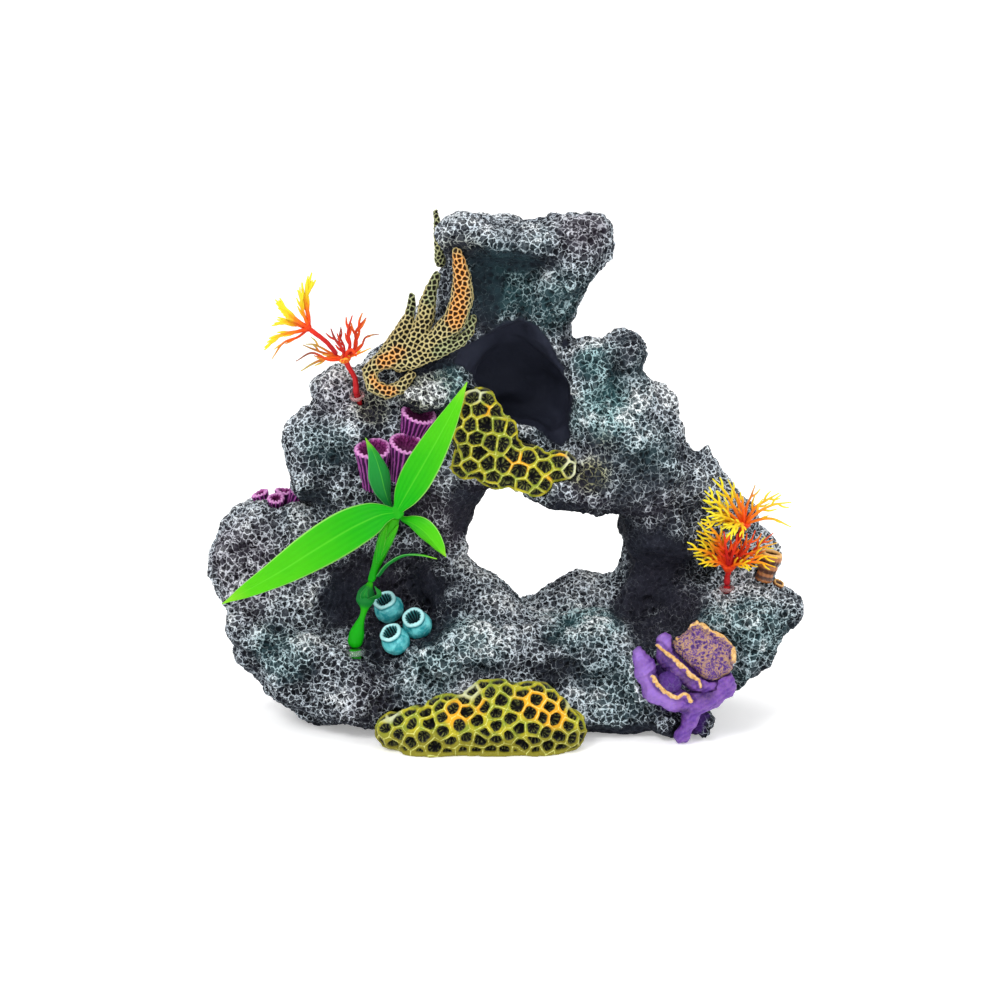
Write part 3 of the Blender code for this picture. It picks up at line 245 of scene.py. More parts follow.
class Paint:
    """A node material, built one node at a time."""

    def __init__(self, name):
        self.mat = bpy.data.materials.new(name)
        self.mat.use_nodes = True
        self.tree = self.mat.node_tree
        self.tree.nodes.clear()
        out = self.tree.nodes.new("ShaderNodeOutputMaterial")
        self.bsdf = self.tree.nodes.new("ShaderNodeBsdfPrincipled")
        self.tree.links.new(self.bsdf.outputs[0], out.inputs["Surface"])
        self.place = self.node("ShaderNodeTexCoord").outputs["Object"]

    def node(self, kind, **props):
        n = self.tree.nodes.new(kind)
        for key, value in props.items():
            setattr(n, key, value)
        return n

    def put(self, socket, value):
        if isinstance(value, bpy.types.NodeSocket):
            self.tree.links.new(value, socket)
        elif hasattr(socket.default_value, "__len__") and not hasattr(value, "__len__"):
            socket.default_value = [value] * len(socket.default_value)
        elif hasattr(value, "__len__") and len(value) == 3 and len(socket.default_value) == 4:
            socket.default_value = (*value, 1.0)
        else:
            socket.default_value = value

    def math(self, op, a, b=0.0, c=0.0, clamp=False):
        n = self.node("ShaderNodeMath", operation=op, use_clamp=clamp)
        for socket, value in zip(n.inputs, (a, b, c)):
            self.put(socket, value)
        return n.outputs[0]

    def remap(self, x, a, b, c=0.0, d=1.0, kind="SMOOTHSTEP"):
        n = self.node("ShaderNodeMapRange", interpolation_type=kind)
        for key, value in (("Value", x), ("From Min", a), ("From Max", b), ("To Min", c), ("To Max", d)):
            self.put(n.inputs[key], value)
        return n.outputs[0]

    def mix(self, fac, a, b, blend="MIX"):
        n = self.node("ShaderNodeMix", data_type="RGBA", blend_type=blend)
        self.put(n.inputs[0], fac)
        self.put(n.inputs[6], a)
        self.put(n.inputs[7], b)
        return n.outputs[2]

    def ramp(self, fac, stops):
        n = self.node("ShaderNodeValToRGB")
        self.put(n.inputs[0], fac)
        while len(n.color_ramp.elements) < len(stops):
            n.color_ramp.elements.new(0.5)
        for e, (at, colour) in zip(n.color_ramp.elements, stops):
            e.position = at
            e.color = (*colour, 1.0)
        return n.outputs[0]

    def noise(self, size, detail=2.0, rough=0.5, warp=0.0):
        """Noise in 0..1 whose features are about size millimetres."""
        n = self.node("ShaderNodeTexNoise")
        self.put(n.inputs["Vector"], self.place)
        self.put(n.inputs["Scale"], 1 / (size * MM))
        self.put(n.inputs["Detail"], detail)
        self.put(n.inputs["Roughness"], rough)
        self.put(n.inputs["Distortion"], warp)
        return n.outputs[0]

    def bent(self, size, amount):
        """Places pushed about by noise, so that what is drawn there wanders."""
        n = self.node("ShaderNodeTexNoise")
        self.put(n.inputs["Vector"], self.place)
        self.put(n.inputs["Scale"], 1 / (size * MM))
        self.put(n.inputs["Detail"], 1.0)
        m = self.node("ShaderNodeVectorMath", operation="MULTIPLY_ADD")
        self.put(m.inputs[0], n.outputs["Color"])
        self.put(m.inputs[1], (amount * MM,) * 3)
        self.put(m.inputs[2], self.place)
        return m.outputs[0]

    def walls(self, size, jitter=1.0, at=None):
        """Distance to the nearest cell wall, in cells."""
        n = self.node("ShaderNodeTexVoronoi", feature="DISTANCE_TO_EDGE")
        self.put(n.inputs["Vector"], self.place if at is None else at)
        self.put(n.inputs["Scale"], 1 / (size * MM))
        self.put(n.inputs["Randomness"], jitter)
        return n.outputs["Distance"]

    def stored(self, name):
        n = self.node("ShaderNodeAttribute", attribute_name=name)
        s = self.node("ShaderNodeSeparateColor")
        self.put(s.inputs[0], n.outputs["Color"])
        return s.outputs[0], s.outputs[1], s.outputs[2]

    def bump(self, height, strength, distance, before=None):
        n = self.node("ShaderNodeBump")
        self.put(n.inputs["Strength"], strength)
        self.put(n.inputs["Distance"], distance * MM)
        self.put(n.inputs["Height"], height)
        if before is not None:
            self.put(n.inputs["Normal"], before)
        return n.outputs[0]

    def finish(self, **values):
        for key, value in values.items():
            self.put(self.bsdf.inputs[key.replace("_", " ")], value)
        return self.mat

# ------------------------------------------------------------------ the rock

ROCK_VOXEL = 0.95


def within(co, outline):
    """Signed distance in the front plane to an outline given in front of the
    object (positive inside), following the slope at which one looks into it."""
    q = np.stack([co[:, 0], co[:, 2] + 0.2126 * co[:, 1]], 1)
    ring = [np.array((p[0], p[2] + 0.2126 * p[1])) for p in outline]
    best, hits = np.full(len(co), 1e9), np.zeros(len(co), int)
    for a, b in zip(ring, ring[1:] + ring[:1]):
        ab = b - a
        t = np.clip(((q - a) @ ab) / (ab @ ab), 0, 1)
        best = np.minimum(best, np.sqrt(((q - a - t[:, None] * ab) ** 2).sum(1)))
        up = (a[1] > q[:, 1]) != (b[1] > q[:, 1])
        at = a[0] + (q[:, 1] - a[1]) * (b[0] - a[0]) / (b[1] - a[1] if abs(b[1] - a[1]) > 1e-9 else 1e-9)
        hits += up & (q[:, 0] < at)
    return np.where(hits % 2 == 1, best, -best)


MOUTH = [
    (-15.7, 1.9, 124.3), (-8.4, 1.9, 129.3), (-1.2, 1.9, 133.2), (4.7, 1.9, 134.9), (10.0, 1.9, 132.9), (14.6, 1.9, 127.3), (18.6, 1.9, 119.7), (20.9, 1.9, 111.0),
    (19.0, 1.9, 105.3), (13.4, 1.9, 101.3), (7.1, 1.9, 100.3), (2.1, 1.9, 103.6), (-1.9, 1.9, 108.3), (-5.8, 1.9, 113.3), (-11.1, 1.9, 117.0), (-16.7, 1.9, 120.3),
]


PLATES = [
    (44.1, 1.9, 25.5), (50.6, 1.9, 21.0), (50.8, 1.9, 27.6), (55.5, 1.9, 29.7), (64.6, 1.9, 33.6), (78.2, 1.9, 24.1), (78.5, 1.9, 11.5), (73.6, 1.9, 4.4),
    (67.5, 1.9, 0.9), (62.9, 1.9, -8.0), (58.2, 1.9, -8.7), (60.0, 1.9, 0.9), (50.8, 1.9, 3.3), (45.6, 1.9, 10.1), (43.5, 1.9, 18.5),
]


def rock_surface():
    mesh = even("rock_body", ROCK_VOXEL)
    ed = edges(mesh)
    co = relax(points(mesh), ed, 5, 0.5, 0.52)
    co[:, 2] = np.maximum(co[:, 2], 0)
    move(mesh, co)
    # twice the points where the eye goes: the front, the top and the sides
    bm = bmesh.new()
    bm.from_mesh(mesh)
    bm.normal_update()
    chosen = set()
    for f in bm.faces:
        c = f.calc_center_median() / MM
        if (f.normal.y < 0.25 or c.y < 4) and c.z > 1.0:
            chosen.update(f.edges)
    bmesh.ops.subdivide_edges(bm, edges=list(chosen), cuts=1, use_grid_fill=True)
    bm.to_mesh(mesh)
    bm.free()
    ed = edges(mesh)
    co = relax(points(mesh), ed, 2, 0.5, 0.52)
    move(mesh, co)
    no = relax(normals(mesh), ed, 6)
    no /= np.maximum(np.linalg.norm(no, axis=1), 1e-6)[:, None]

    # where the cast is open, and where painted shade goes: the cave, the basin, the hollow and the undersides
    mouth = within(co, MOUTH)
    cave = smoothstep(-0.35, 0.55, mouth) * smoothstep(-10.5, -8.5, co[:, 1]) * (1 - smoothstep(24, 26, co[:, 1]))
    hall = 1 - smoothstep(1.05, 1.2, inside(co, (6.0, 9.0, 109.5), (19, 17, 21), -28))
    cave = np.maximum(cave, hall * smoothstep(1.5, 4.0, co[:, 1]))
    basin = 1 - smoothstep(0.80, 1.30, inside(co, (-36.2, -6.0, 41.5), (22, 22, 16), 0))
    hollow = 1 - smoothstep(0.6, 1.5, inside(co, (53.0, -8.0, 45.0), (14, 22, 20), 0))
    under = smoothstep(-0.55, -0.95, no[:, 2])

    # painted shade on smooth recessed faces, which the brush also hardly reached
    shade = np.zeros(len(co))
    for at, radii, tilt in (
        ((-6.1, -4.1, 144.8), (6.5, 10, 14.0), 0), ((-11.9, 3.9, 72.4), (9.0, 14, 12.0), 12), ((-22.2, 7.9, 42.1), (13, 12, 9), 0),
        ((44.9, -2.1, 49.8), (17.0, 18, 19.0), 0), ((-11.5, -36.1, 20.1), (12.0, 8, 3.5), 0), ((-0.2, -8.1, 154.9), (13.0, 7, 3.5), -8),
        ((31.8, 5.9, 63.4), (12.0, 16, 5.0), 0), ((13.2, 5.9, 72.0), (12.0, 12, 4.0), -20), ((-53.6, -4.1, 41.7), (10.0, 14, 9.0), 0),
        ((44.3, -22.1, 0.5), (24.0, 12, 5.0), 0),
    ):
        shade = np.maximum(shade, 1 - smoothstep(0.6, 1.15, inside(co, at, radii, tilt) + 0.12 * noise(co, 6.0, 51, 2)))
    # painted shade along a ledge
    ledge = near_line(co, [(-32.8, -6.1, 119.6), (-22.7, -6.1, 123.2), (-12.9, -4.1, 124.5), (-6.4, -2.1, 118.3)])
    shade = np.maximum(shade, 1.15 * (1 - smoothstep(2.6, 4.2, ledge)))
    shade = np.clip(shade, 0, 1) * (1 - cave)

    # bulges catch the dry brush; painted shade takes brush away in the cave, basin, hollow, undersides and shaded faces
    far = relax(co, ed, 26, 0.8)
    bulge = ((co - far) * no).sum(1)
    mid = relax(co, ed, 8, 0.8)
    fine_bulge = ((co - mid) * no).sum(1)

    warp = np.stack([noise(co, 4.0, 5 + k, 2) for k in range(3)], 1) * 0.55
    soft = noise(co, 14.0, 31, 3)
    patch = noise(co, 22.0, 32, 2)
    crag = noise(co, 7.5, 33, 3)
    knob = noise(co, 2.6, 34, 2)

    ea, _, _ = cells(co + warp, 2.05, 7)
    eb, _, _ = cells(co + warp * 1.2, 2.75, 17)
    coarse = smoothstep(-0.05, 0.05, noise(co, 26.0, 41, 2) - 0.012 * (co[:, 2] - 45))
    e1 = np.where(coarse > 0.5, eb, ea)
    e2, d2, own = cells(co + warp * 1.4, 4.6, 8)
    e3, d3, _ = cells(co + warp * 0.5, 1.25, 9)

    brush_and_shade = 0.545 + 0.17 * np.clip(bulge, -3, 3) + 0.35 * np.clip(fine_bulge, -1, 1) + 0.16 * no[:, 2] + 0.22 * soft + 0.10 * patch + 0.24 * crag + 0.08 * knob
    # painted shade: less light brush in recesses and undersides
    brush_and_shade -= 0.9 * cave + 0.42 * basin + 0.42 * hollow + 0.35 * under + 0.50 * shade
    # less brush towards the back
    brush_and_shade -= 0.10 * smoothstep(8, 30, co[:, 1])
    brush_and_shade = np.clip(brush_and_shade, 0, 1)

    rough = (1 - 0.93 * cave) * (1 - 0.45 * shade)
    pits = smoothstep(0.08, 0.66, e1 + 0.10 * crag)
    big = smoothstep(0.3, 1.4, e2) * (own > 0.66)
    small = smoothstep(0.02, 0.35, e3)
    depth = rough * (
        1.20 * pits * (0.8 + 0.3 * soft)
        + 1.30 * big * (1 - 0.6 * basin)
        + 0.22 * small
        - 1.40 * crag
        - 0.80 * soft
        - 0.55 * knob
        - 0.45
    )
    depth += cave * 0.25 * crag
    seat = smoothstep(-1.2, 0.6, within(co, PLATES)) * (1 - smoothstep(-12, -8, co[:, 1]))
    depth = depth * (1 - 0.6 * seat) + 4.2 * seat
    co = co - no * depth[:, None]
    co[:, 0] = np.clip(co[:, 0], cad_box[0][0] / MM + 0.02, cad_box[1][0] / MM - 0.02)
    co[:, 1] = np.clip(co[:, 1], cad_box[0][1] / MM + 0.02, cad_box[1][1] / MM - 0.02)
    co[:, 2] = np.clip(co[:, 2], 0.0, cad_box[1][2] / MM)
    move(mesh, co)

    # paint zones: teal and plum glazes over the charcoal cast
    def zone(*spots):
        out = np.zeros(len(co))
        for (x, y, z), r, amount in spots:
            d = np.sqrt((((co - (x, y, z)) / r) ** 2).sum(1))
            out = np.maximum(out, amount * (1 - smoothstep(0.35, 1.15, d + 0.22 * soft)))
        return out

    teal = zone(
        ((-0.2, -10.1, 149.4), 18, 0.75), ((17.6, -6.1, 142.4), 16, 0.6), ((29.8, -10.1, 126.7), 13, 0.9),
        ((33.8, -12.1, 107.4), 16, 0.9), ((17.7, -8.1, 101.7), 12, 0.7), ((43.7, -12.1, 90.9), 20, 0.45),
        ((-16.4, -10.1, 115.2), 10, 0.8), ((-1.9, -6.1, 99.7), 10, 0.3), ((-21.4, -26.1, 23.9), 16, 0.55),
        ((-11.7, -16.1, 31.2), 14, 0.6), ((28.1, -8.1, 35.9), 16, 0.8), ((18.3, 1.9, 40.2), 12, 0.6),
        ((69.8, -22.1, 43.0), 14, 0.7), ((81.9, -18.1, 31.8), 18, 0.6), ((75.7, -18.1, 14.7), 12, 0.7),
        ((-74.0, -20.1, 28.9), 14, 0.55), ((-57.4, -8.1, 96.7), 12, 0.4), ((37.2, -28.1, 17.7), 18, 0.4),
        ((-67.9, -6.1, 69.5), 14, 0.15), ((7.7, -14.1, 167.3), 14, 0.35), ((47.2, -4.1, 115.9), 12, 0.3),
    )
    plum = zone(
        ((23.6, -12.1, 170.3), 16, 0.8), ((4.5, -12.1, 170.3), 14, 0.5), ((-88.1, -6.1, 55.9), 22, 0.75),
        ((-67.6, -12.1, 57.4), 20, 0.5), ((-54.2, -4.1, 111.0), 14, 0.7), ((37.0, -8.1, 126.4), 8, 0.5),
        ((47.1, -14.1, 74.6), 18, 0.6), ((-5.2, -4.1, 82.6), 12, 0.7), ((-21.9, 1.9, 67.7), 18, 0.7),
        ((-38.8, 1.9, 43.6), 20, 0.7), ((49.8, -4.1, 45.2), 20, 0.8), ((60.4, -0.1, 125.3), 10, 0.5),
        ((-11.6, -28.1, 16.0), 12, 0.6), ((31.0, -8.1, 83.4), 16, 0.5), ((-47.7, -24.1, 13.1), 12, 0.4),
    )
    back = smoothstep(6, 24, co[:, 1])
    teal = np.maximum(teal, back * smoothstep(0.1, 0.9, patch) * 0.5)
    plum = np.maximum(plum, back * smoothstep(0.1, 0.9, -patch) * 0.5)
    gold = zone(
        ((-15.5, -18.1, 156.0), 10, 0.5), ((-27.8, -10.1, 112.0), 12, 0.6), ((27.6, -10.1, 86.5), 8, 0.8),
        ((-43.7, -6.1, 108.0), 8, 0.5), ((30.7, -12.1, 94.2), 7, 0.5),
    )
    # painted shade: the cave, basin, hollow, undersides and shaded faces darken the colour
    dark = np.clip(cave + 0.45 * basin + 0.5 * hollow + 0.5 * under + 0.75 * shade, 0, 1)
    store(mesh, "net", np.clip(e1 / 2, 0, 1), np.clip(e2 / 4, 0, 1) + (own <= 0.42) * 0.0, brush_and_shade)
    # the third channel of tint is painted shade
    store(mesh, "tint", teal, plum, dark)
    bowl = smoothstep(0.4, 2.0, within(co, PLATES)) * (1 - smoothstep(-23, -19, co[:, 1]))
    store(mesh, "more", gold, cave, np.clip(bowl, 0, 1))
    return mesh


def rock_paint():
    p = Paint("resin_rock_paint")
    wall, big_wall, brush_and_shade = p.stored("net")
    # the third channel of tint is painted shade
    teal, plum, dark = p.stored("tint")
    gold, cave, bowl = p.stored("more")
    n1 = p.noise(0.9, 3.0, 0.6)
    n2 = p.noise(5.0, 3.0, 0.55)
    n3 = p.noise(2.2, 2.0, 0.5)
    # the brush only touches the raised net between the pits
    bent = p.bent(1.2, 1.5)
    gaps = p.remap(p.noise(0.75, 2.0, 0.6), 0.38, 0.52, 0.40, 1.0)
    broad = p.walls(2.20, 1.0, bent)
    fine = p.walls(1.25, 1.0, bent)
    reach = p.math("MULTIPLY_ADD", brush_and_shade, 0.115, 0.020)
    ragged = p.math("MULTIPLY_ADD", p.math("SUBTRACT", n1, 0.5), 0.07, broad)
    line = p.remap(ragged, p.math("MULTIPLY", reach, 0.45), p.math("MULTIPLY", reach, 1.10), 1.0, 0.0)
    jitter = p.math("MULTIPLY_ADD", p.math("SUBTRACT", n1, 0.5), 0.08, wall)
    ridge = p.remap(jitter, 0.02, p.math("MULTIPLY_ADD", brush_and_shade, 0.10, 0.035), 1.0, 0.0)
    line2 = p.remap(big_wall, 0.002, p.math("MULTIPLY_ADD", brush_and_shade, 0.05, 0.006), 1.0, 0.0)
    fine_line = p.remap(p.math("MULTIPLY_ADD", p.math("SUBTRACT", n1, 0.5), 0.10, fine), 0.03, 0.12, 1.0, 0.0)
    fine_line = p.math("MULTIPLY", fine_line, p.remap(p.math("MULTIPLY_ADD", n3, 1.0, brush_and_shade), 0.95, 1.45))
    net = p.math("MAXIMUM", p.math("MULTIPLY", line, gaps), p.math("MULTIPLY", fine_line, 0.26))
    net = p.math("MAXIMUM", net, p.math("MULTIPLY", p.math("MAXIMUM", ridge, line2), 0.09))
    # and misses the floor of every pit
    net = p.math("MULTIPLY", net, p.remap(wall, 0.16, 0.42, 1.0, 0.30))
    strength = p.remap(p.math("MULTIPLY_ADD", n2, 0.85, brush_and_shade), 0.62, 1.16, 0.14, 1.0)
    net = p.math("MULTIPLY", net, strength, clamp=True)

    pit = p.mix(teal, (0.0040, 0.0046, 0.0072), (0.005, 0.014, 0.017))
    pit = p.mix(p.math("MULTIPLY", plum, 0.7), pit, (0.013, 0.009, 0.014))
    slope = p.mix(teal, (0.015, 0.018, 0.026), (0.014, 0.050, 0.056))
    slope = p.mix(p.math("MULTIPLY", plum, 0.8), slope, (0.026, 0.018, 0.028))
    body = p.mix(p.remap(jitter, 0.05, 0.24, 1.0, 0.0), pit, slope)
    body = p.mix(p.remap(n2, 0.35, 0.75), body, pit)
    brush = p.mix(p.math("MULTIPLY", teal, 0.75), (0.56, 0.63, 0.69), (0.25, 0.50, 0.50))
    brush = p.mix(p.math("MULTIPLY", plum, 0.6), brush, (0.46, 0.39, 0.44))
    brush = p.mix(gold, brush, (0.42, 0.40, 0.13))
    white = p.remap(p.math("MULTIPLY_ADD", n3, 0.5, brush_and_shade), 0.88, 1.22)
    brush = p.mix(p.math("MULTIPLY", white, 0.8), brush, (0.86, 0.89, 0.90))
    colour = p.mix(net, body, brush)
    # painted shade over recesses and undersides
    colour = p.mix(p.math("MULTIPLY", dark, 0.50), colour, (0.015, 0.018, 0.029))
    # painted shade inside the cave
    colour = p.mix(p.math("MULTIPLY", cave, 0.93), colour, (0.0200, 0.0225, 0.0370))
    violet = p.mix(n1, (0.020, 0.006, 0.070), (0.120, 0.045, 0.270))
    colour = p.mix(p.math("MULTIPLY", bowl, 0.95), colour, violet)
    height = p.math("MULTIPLY_ADD", net, 0.6, p.math("MULTIPLY", p.math("MINIMUM", fine, 0.3), -1.6))
    height = p.math("MULTIPLY_ADD", n1, 0.5, height)
    return p.finish(
        Base_Color=colour,
        Roughness=p.remap(net, 0.0, 1.0, 0.72, 0.58),
        Normal=p.bump(height, p.math("MULTIPLY_ADD", cave, -0.55, 0.65), 0.28),
        Specular_IOR_Level=0.07,
    )


rock_mesh = rock_surface()
piece("rock_visual", rock_mesh, rock_paint(), "rock", "resin_rock", "rock_body")

# ------------------------------------------------- corals with open cells


def seeds_on(co, spacing, seed, rounds=5):
    """Evenly spread points on a surface."""
    order = np.random.default_rng(seed).permutation(len(co))
    grid, chosen = {}, []
    for i in order:
        p = co[i]
        key = tuple((p // spacing).astype(int))
        clash = False
        for d in itertools.product((-1, 0, 1), repeat=3):
            for q in grid.get((key[0] + d[0], key[1] + d[1], key[2] + d[2]), ()):
                if ((q - p) ** 2).sum() < spacing * spacing:
                    clash = True
                    break
            if clash:
                break
        if not clash:
            grid.setdefault(key, []).append(p)
            chosen.append(p)
    pts = np.array(chosen)
    for _ in range(rounds):
        near = nearest(pts, co, 1)[0][:, 0]
        count = np.maximum(np.bincount(near, minlength=len(pts)), 1)
        mean = np.stack([np.bincount(near, co[:, k], len(pts)) / count for k in range(3)], 1)
        pts = pts + 0.6 * (mean - pts)
    return pts


def nearest(pts, co, how_many):
    tree = KDTree(len(pts))
    for i, p in enumerate(pts):
        tree.insert(p, i)
    tree.balance()
    index = np.zeros((len(co), how_many), int)
    dist = np.zeros((len(co), how_many))
    for i, p in enumerate(co):
        for k, (_, j, d) in enumerate(tree.find_n(p, how_many)):
            index[i, k], dist[i, k] = j, d
    return index, dist


def celled(node, voxel, spacing, wall, depth, seed, septa=0.0, rough=0.25, rounds=3, round_pits=0.0, rim=0.0):
    """A coral surface whose cells are sunk between raised walls.  Gives the
    mesh, each point's place, its normal, how far it is into a pit, the
    distance to its wall, how strong a septum is there, and its cell."""
    mesh = even(node, voxel)
    ed = edges(mesh)
    co = relax(points(mesh), ed, rounds, 0.5, 0.52)
    move(mesh, co)
    no = relax(normals(mesh), ed, 10)
    no /= np.maximum(np.linalg.norm(no, axis=1), 1e-6)[:, None]
    pts = seeds_on(co[:: 3], spacing, seed)
    warp = np.stack([noise(co, spacing * 0.9, seed + k, 2) for k in range(3)], 1) * spacing * 0.10
    index, dist = nearest(pts, co + warp, 2)
    gap = np.linalg.norm(pts[index[:, 0]] - pts[index[:, 1]], axis=1)
    edge = (dist[:, 1] ** 2 - dist[:, 0] ** 2) / (2 * np.maximum(gap, 1e-3))
    vary = noise(co, spacing * 1.4, seed + 11, 2)
    raw = edge
    if round_pits:
        edge = np.minimum(edge, round_pits * spacing - dist[:, 0])
    width = wall * (1 + 0.35 * vary)
    pit = smoothstep(0, 1, (edge - width) / (spacing * 0.17))
    if rim:
        # a plain band runs along the foot
        pit = pit * smoothstep(rim * 0.4, rim, co[:, 2] - co[:, 2].min() + 0.3 * vary)
        edge = np.where(co[:, 2] - co[:, 2].min() < rim * 0.7, np.minimum(edge, width), edge)
    # ribs run in from the walls to each cell's middle
    v = co - pts[index[:, 0]]
    u1 = np.cross(no, np.array([0.31, 0.2, 0.93]))
    u1 /= np.maximum(np.linalg.norm(u1, axis=1), 1e-6)[:, None]
    u2 = np.cross(no, u1)
    angle = np.arctan2((v * u2).sum(1), (v * u1).sum(1))
    rib = smoothstep(0.25, 0.95, np.cos(angle * 8 + index[:, 0] * 1.7))
    rib = rib * smoothstep(0.16 * spacing, 0.34 * spacing, dist[:, 0]) * pit
    sink = depth * (0.55 * pit + 0.45 * smoothstep(0, 1, (edge - width) / (spacing * 0.42)))
    sink = sink * (1 - septa * rib)
    crown = 0.18 * wall * (1 - pit)
    co = co - no * (sink - crown + rough * noise(co, 2.2, seed + 3, 2))[:, None]
    co = np.clip(co, np.array(cad_box[0]) / MM, np.array(cad_box[1]) / MM)
    move(mesh, co)
    return mesh, co, no, pit, raw, rib, index[:, 0], vary


def honeycomb(name, node, spacing, wall, depth, seed, round_pits, orange, pale, olive_below):
    mesh, co, no, pit, edge, rib, cell, vary = celled(node, 0.38, spacing, wall, depth, seed, 0.42, round_pits=round_pits, rim=2.4 if olive_below < 20 else 0.0)
    warm = np.zeros(len(co))
    for (x, y, z), r in orange:
        d = np.sqrt(((co - (x, y, z)) ** 2).sum(1)) / r
        warm = np.maximum(warm, 1 - smoothstep(0.5, 1.2, d + 0.25 * vary))
    light = np.zeros(len(co))
    for (x, y, z), r in pale:
        d = np.sqrt(((co - (x, y, z)) ** 2).sum(1)) / r
        light = np.maximum(light, 1 - smoothstep(0.5, 1.2, d + 0.25 * vary))
    low = 1 - smoothstep(olive_below, olive_below + 6, co[:, 2] + 2.0 * vary)
    # painted shade on faces turned back towards the rock
    rear_shade = smoothstep(-0.1, 0.5, no[:, 1])
    store(mesh, "cell", np.clip(edge / 3, 0, 1), pit, rib)
    store(mesh, "zone", warm, light, low)
    store(mesh, "more", np.clip(0.5 + 0.5 * vary, 0, 1), rear_shade, pit)
    return mesh


def honeycomb_paint(name, wall):
    p = Paint(name)
    edge, pit, rib = p.stored("cell")
    warm, light, low = p.stored("zone")
    vary, rear_shade, _ = p.stored("more")
    n1 = p.noise(0.8, 3.0, 0.6)
    n2 = p.noise(4.0, 3.0, 0.5)
    yellow = p.mix(p.remap(n2, 0.35, 0.65), (0.20, 0.25, 0.016), (0.44, 0.38, 0.012))
    yellow = p.mix(p.remap(n1, 0.50, 0.85), yellow, (0.12, 0.17, 0.02))
    yellow = p.mix(warm, yellow, (0.70, 0.33, 0.006))
    yellow = p.mix(low, yellow, (0.20, 0.18, 0.010))
    yellow = p.mix(light, yellow, (0.52, 0.54, 0.36))
    crest = p.remap(p.math("MULTIPLY_ADD", n1, 0.06, edge), 0.045, 0.095, 1.0, 0.0)
    yellow = p.mix(p.math("MULTIPLY", crest, 0.6), yellow, (0.78, 0.82, 0.26))
    inside_pit = p.mix(p.math("MULTIPLY", rib, p.remap(n1, 0.35, 0.6)), (0.010, 0.010, 0.012), (0.24, 0.26, 0.07))
    fall = p.math("MULTIPLY_ADD", p.math("SUBTRACT", n1, 0.5), 0.45, pit)
    colour = p.mix(p.remap(fall, 0.14, 0.48), yellow, inside_pit)
    # painted shade on the faces turned back
    colour = p.mix(p.math("MULTIPLY", rear_shade, 0.85), colour, (0.03, 0.032, 0.035))
    return p.finish(
        Base_Color=colour,
        Roughness=p.remap(pit, 0, 1, 0.50, 0.8),
        Specular_IOR_Level=p.remap(pit, 0, 1, 0.22, 0.05),
        Normal=p.bump(p.math("MULTIPLY_ADD", n1, 0.7, p.math("MULTIPLY", n2, 0.4)), 0.5, 0.25),
    )


honey_mat = honeycomb_paint("coral_yellow_paint", 0.5)
piece(
    "honeycomb_upper_visual",
    honeycomb("upper", "honeycomb_coral_upper", 4.15, 0.24, 2.8, 3, 0.77,
              [((4.7, -12.1, 89.9), 4.0), ((18.3, -12.1, 92.5), 3.5), ((-5.7, -12.1, 106.7), 3.0), ((15.1, -12.1, 84.2), 3.0)],
              [((23.6, -10.1, 87.8), 6.0), ((-9.6, -12.1, 113.3), 4.0), ((-14.3, -10.1, 78.8), 3.0)], 60.0),
    honey_mat, "rock", "coral_yellow", "honeycomb_coral_upper",
)
piece(
    "honeycomb_lower_visual",
    honeycomb("lower", "honeycomb_coral_lower", 4.0, 0.34, 2.9, 5, 0.665,
              [((-14.6, -44.1, 15.2), 5.5), ((9.6, -44.1, 17.9), 6.0), ((16.1, -42.1, 13.6), 6.0), ((-8.9, -44.1, 17.6), 3.5), ((4.5, -42.1, 21.9), 3.0)],
              [((-11.5, -38.1, 20.7), 4.5), ((22.3, -38.1, 15.7), 3.5), ((-38.0, -36.1, 12.7), 4.0)], 5.0),
    honey_mat, "rock", "coral_yellow", "honeycomb_coral_lower",
)

# ------------------------------------------------------ the finger sponge


def sponge(name, node, spacing, wall, depth, seed, orange, green, voxel=0.27):
    mesh, co, no, pit, edge, rib, cell, vary = celled(node, voxel, spacing, wall, depth, seed, 0.0, 0.12, 2)
    warm = np.zeros(len(co))
    for line, r in orange:
        warm = np.maximum(warm, 1 - smoothstep(0.4, 1.25, near_line(co, line) / r + 0.25 * vary))
    cool = np.zeros(len(co))
    for line, r in green:
        cool = np.maximum(cool, 1 - smoothstep(0.4, 1.25, near_line(co, line) / r + 0.25 * vary))
    # painted shade on faces turned back towards the rock
    rear_shade = smoothstep(0.2, 0.8, no[:, 1])
    store(mesh, "cell", np.clip(edge / 2, 0, 1), pit, rear_shade)
    store(mesh, "zone", warm, cool, np.clip(0.5 + 0.5 * vary, 0, 1))
    return mesh


def sponge_paint():
    p = Paint("sponge_olive_paint")
    edge, pit, rear_shade = p.stored("cell")
    warm, cool, vary = p.stored("zone")
    n1 = p.noise(0.7, 3.0, 0.6)
    n2 = p.noise(6.0, 2.0, 0.5)
    net = p.mix(p.remap(n2, 0.35, 0.65), (0.30, 0.225, 0.07), (0.38, 0.32, 0.12))
    net = p.mix(cool, net, (0.16, 0.20, 0.08))
    net = p.mix(warm, net, (0.62, 0.22, 0.012))
    net = p.mix(p.remap(p.math("MULTIPLY_ADD", n1, 0.16, edge), 0.06, 0.20, 0.6, 0.0), net, (0.66, 0.60, 0.36))
    fall = p.math("MULTIPLY_ADD", p.math("SUBTRACT", n1, 0.5), 0.5, pit)
    hole = p.mix(warm, (0.014, 0.012, 0.008), (0.05, 0.018, 0.006))
    colour = p.mix(p.remap(fall, 0.14, 0.48), net, hole)
    # painted shade on the faces turned back
    colour = p.mix(p.math("MULTIPLY", rear_shade, 0.5), colour, (0.05, 0.045, 0.03))
    return p.finish(
        Base_Color=colour,
        Roughness=0.66,
        Specular_IOR_Level=p.remap(pit, 0, 1, 0.3, 0.08),
        Normal=p.bump(n1, 0.5, 0.2),
    )


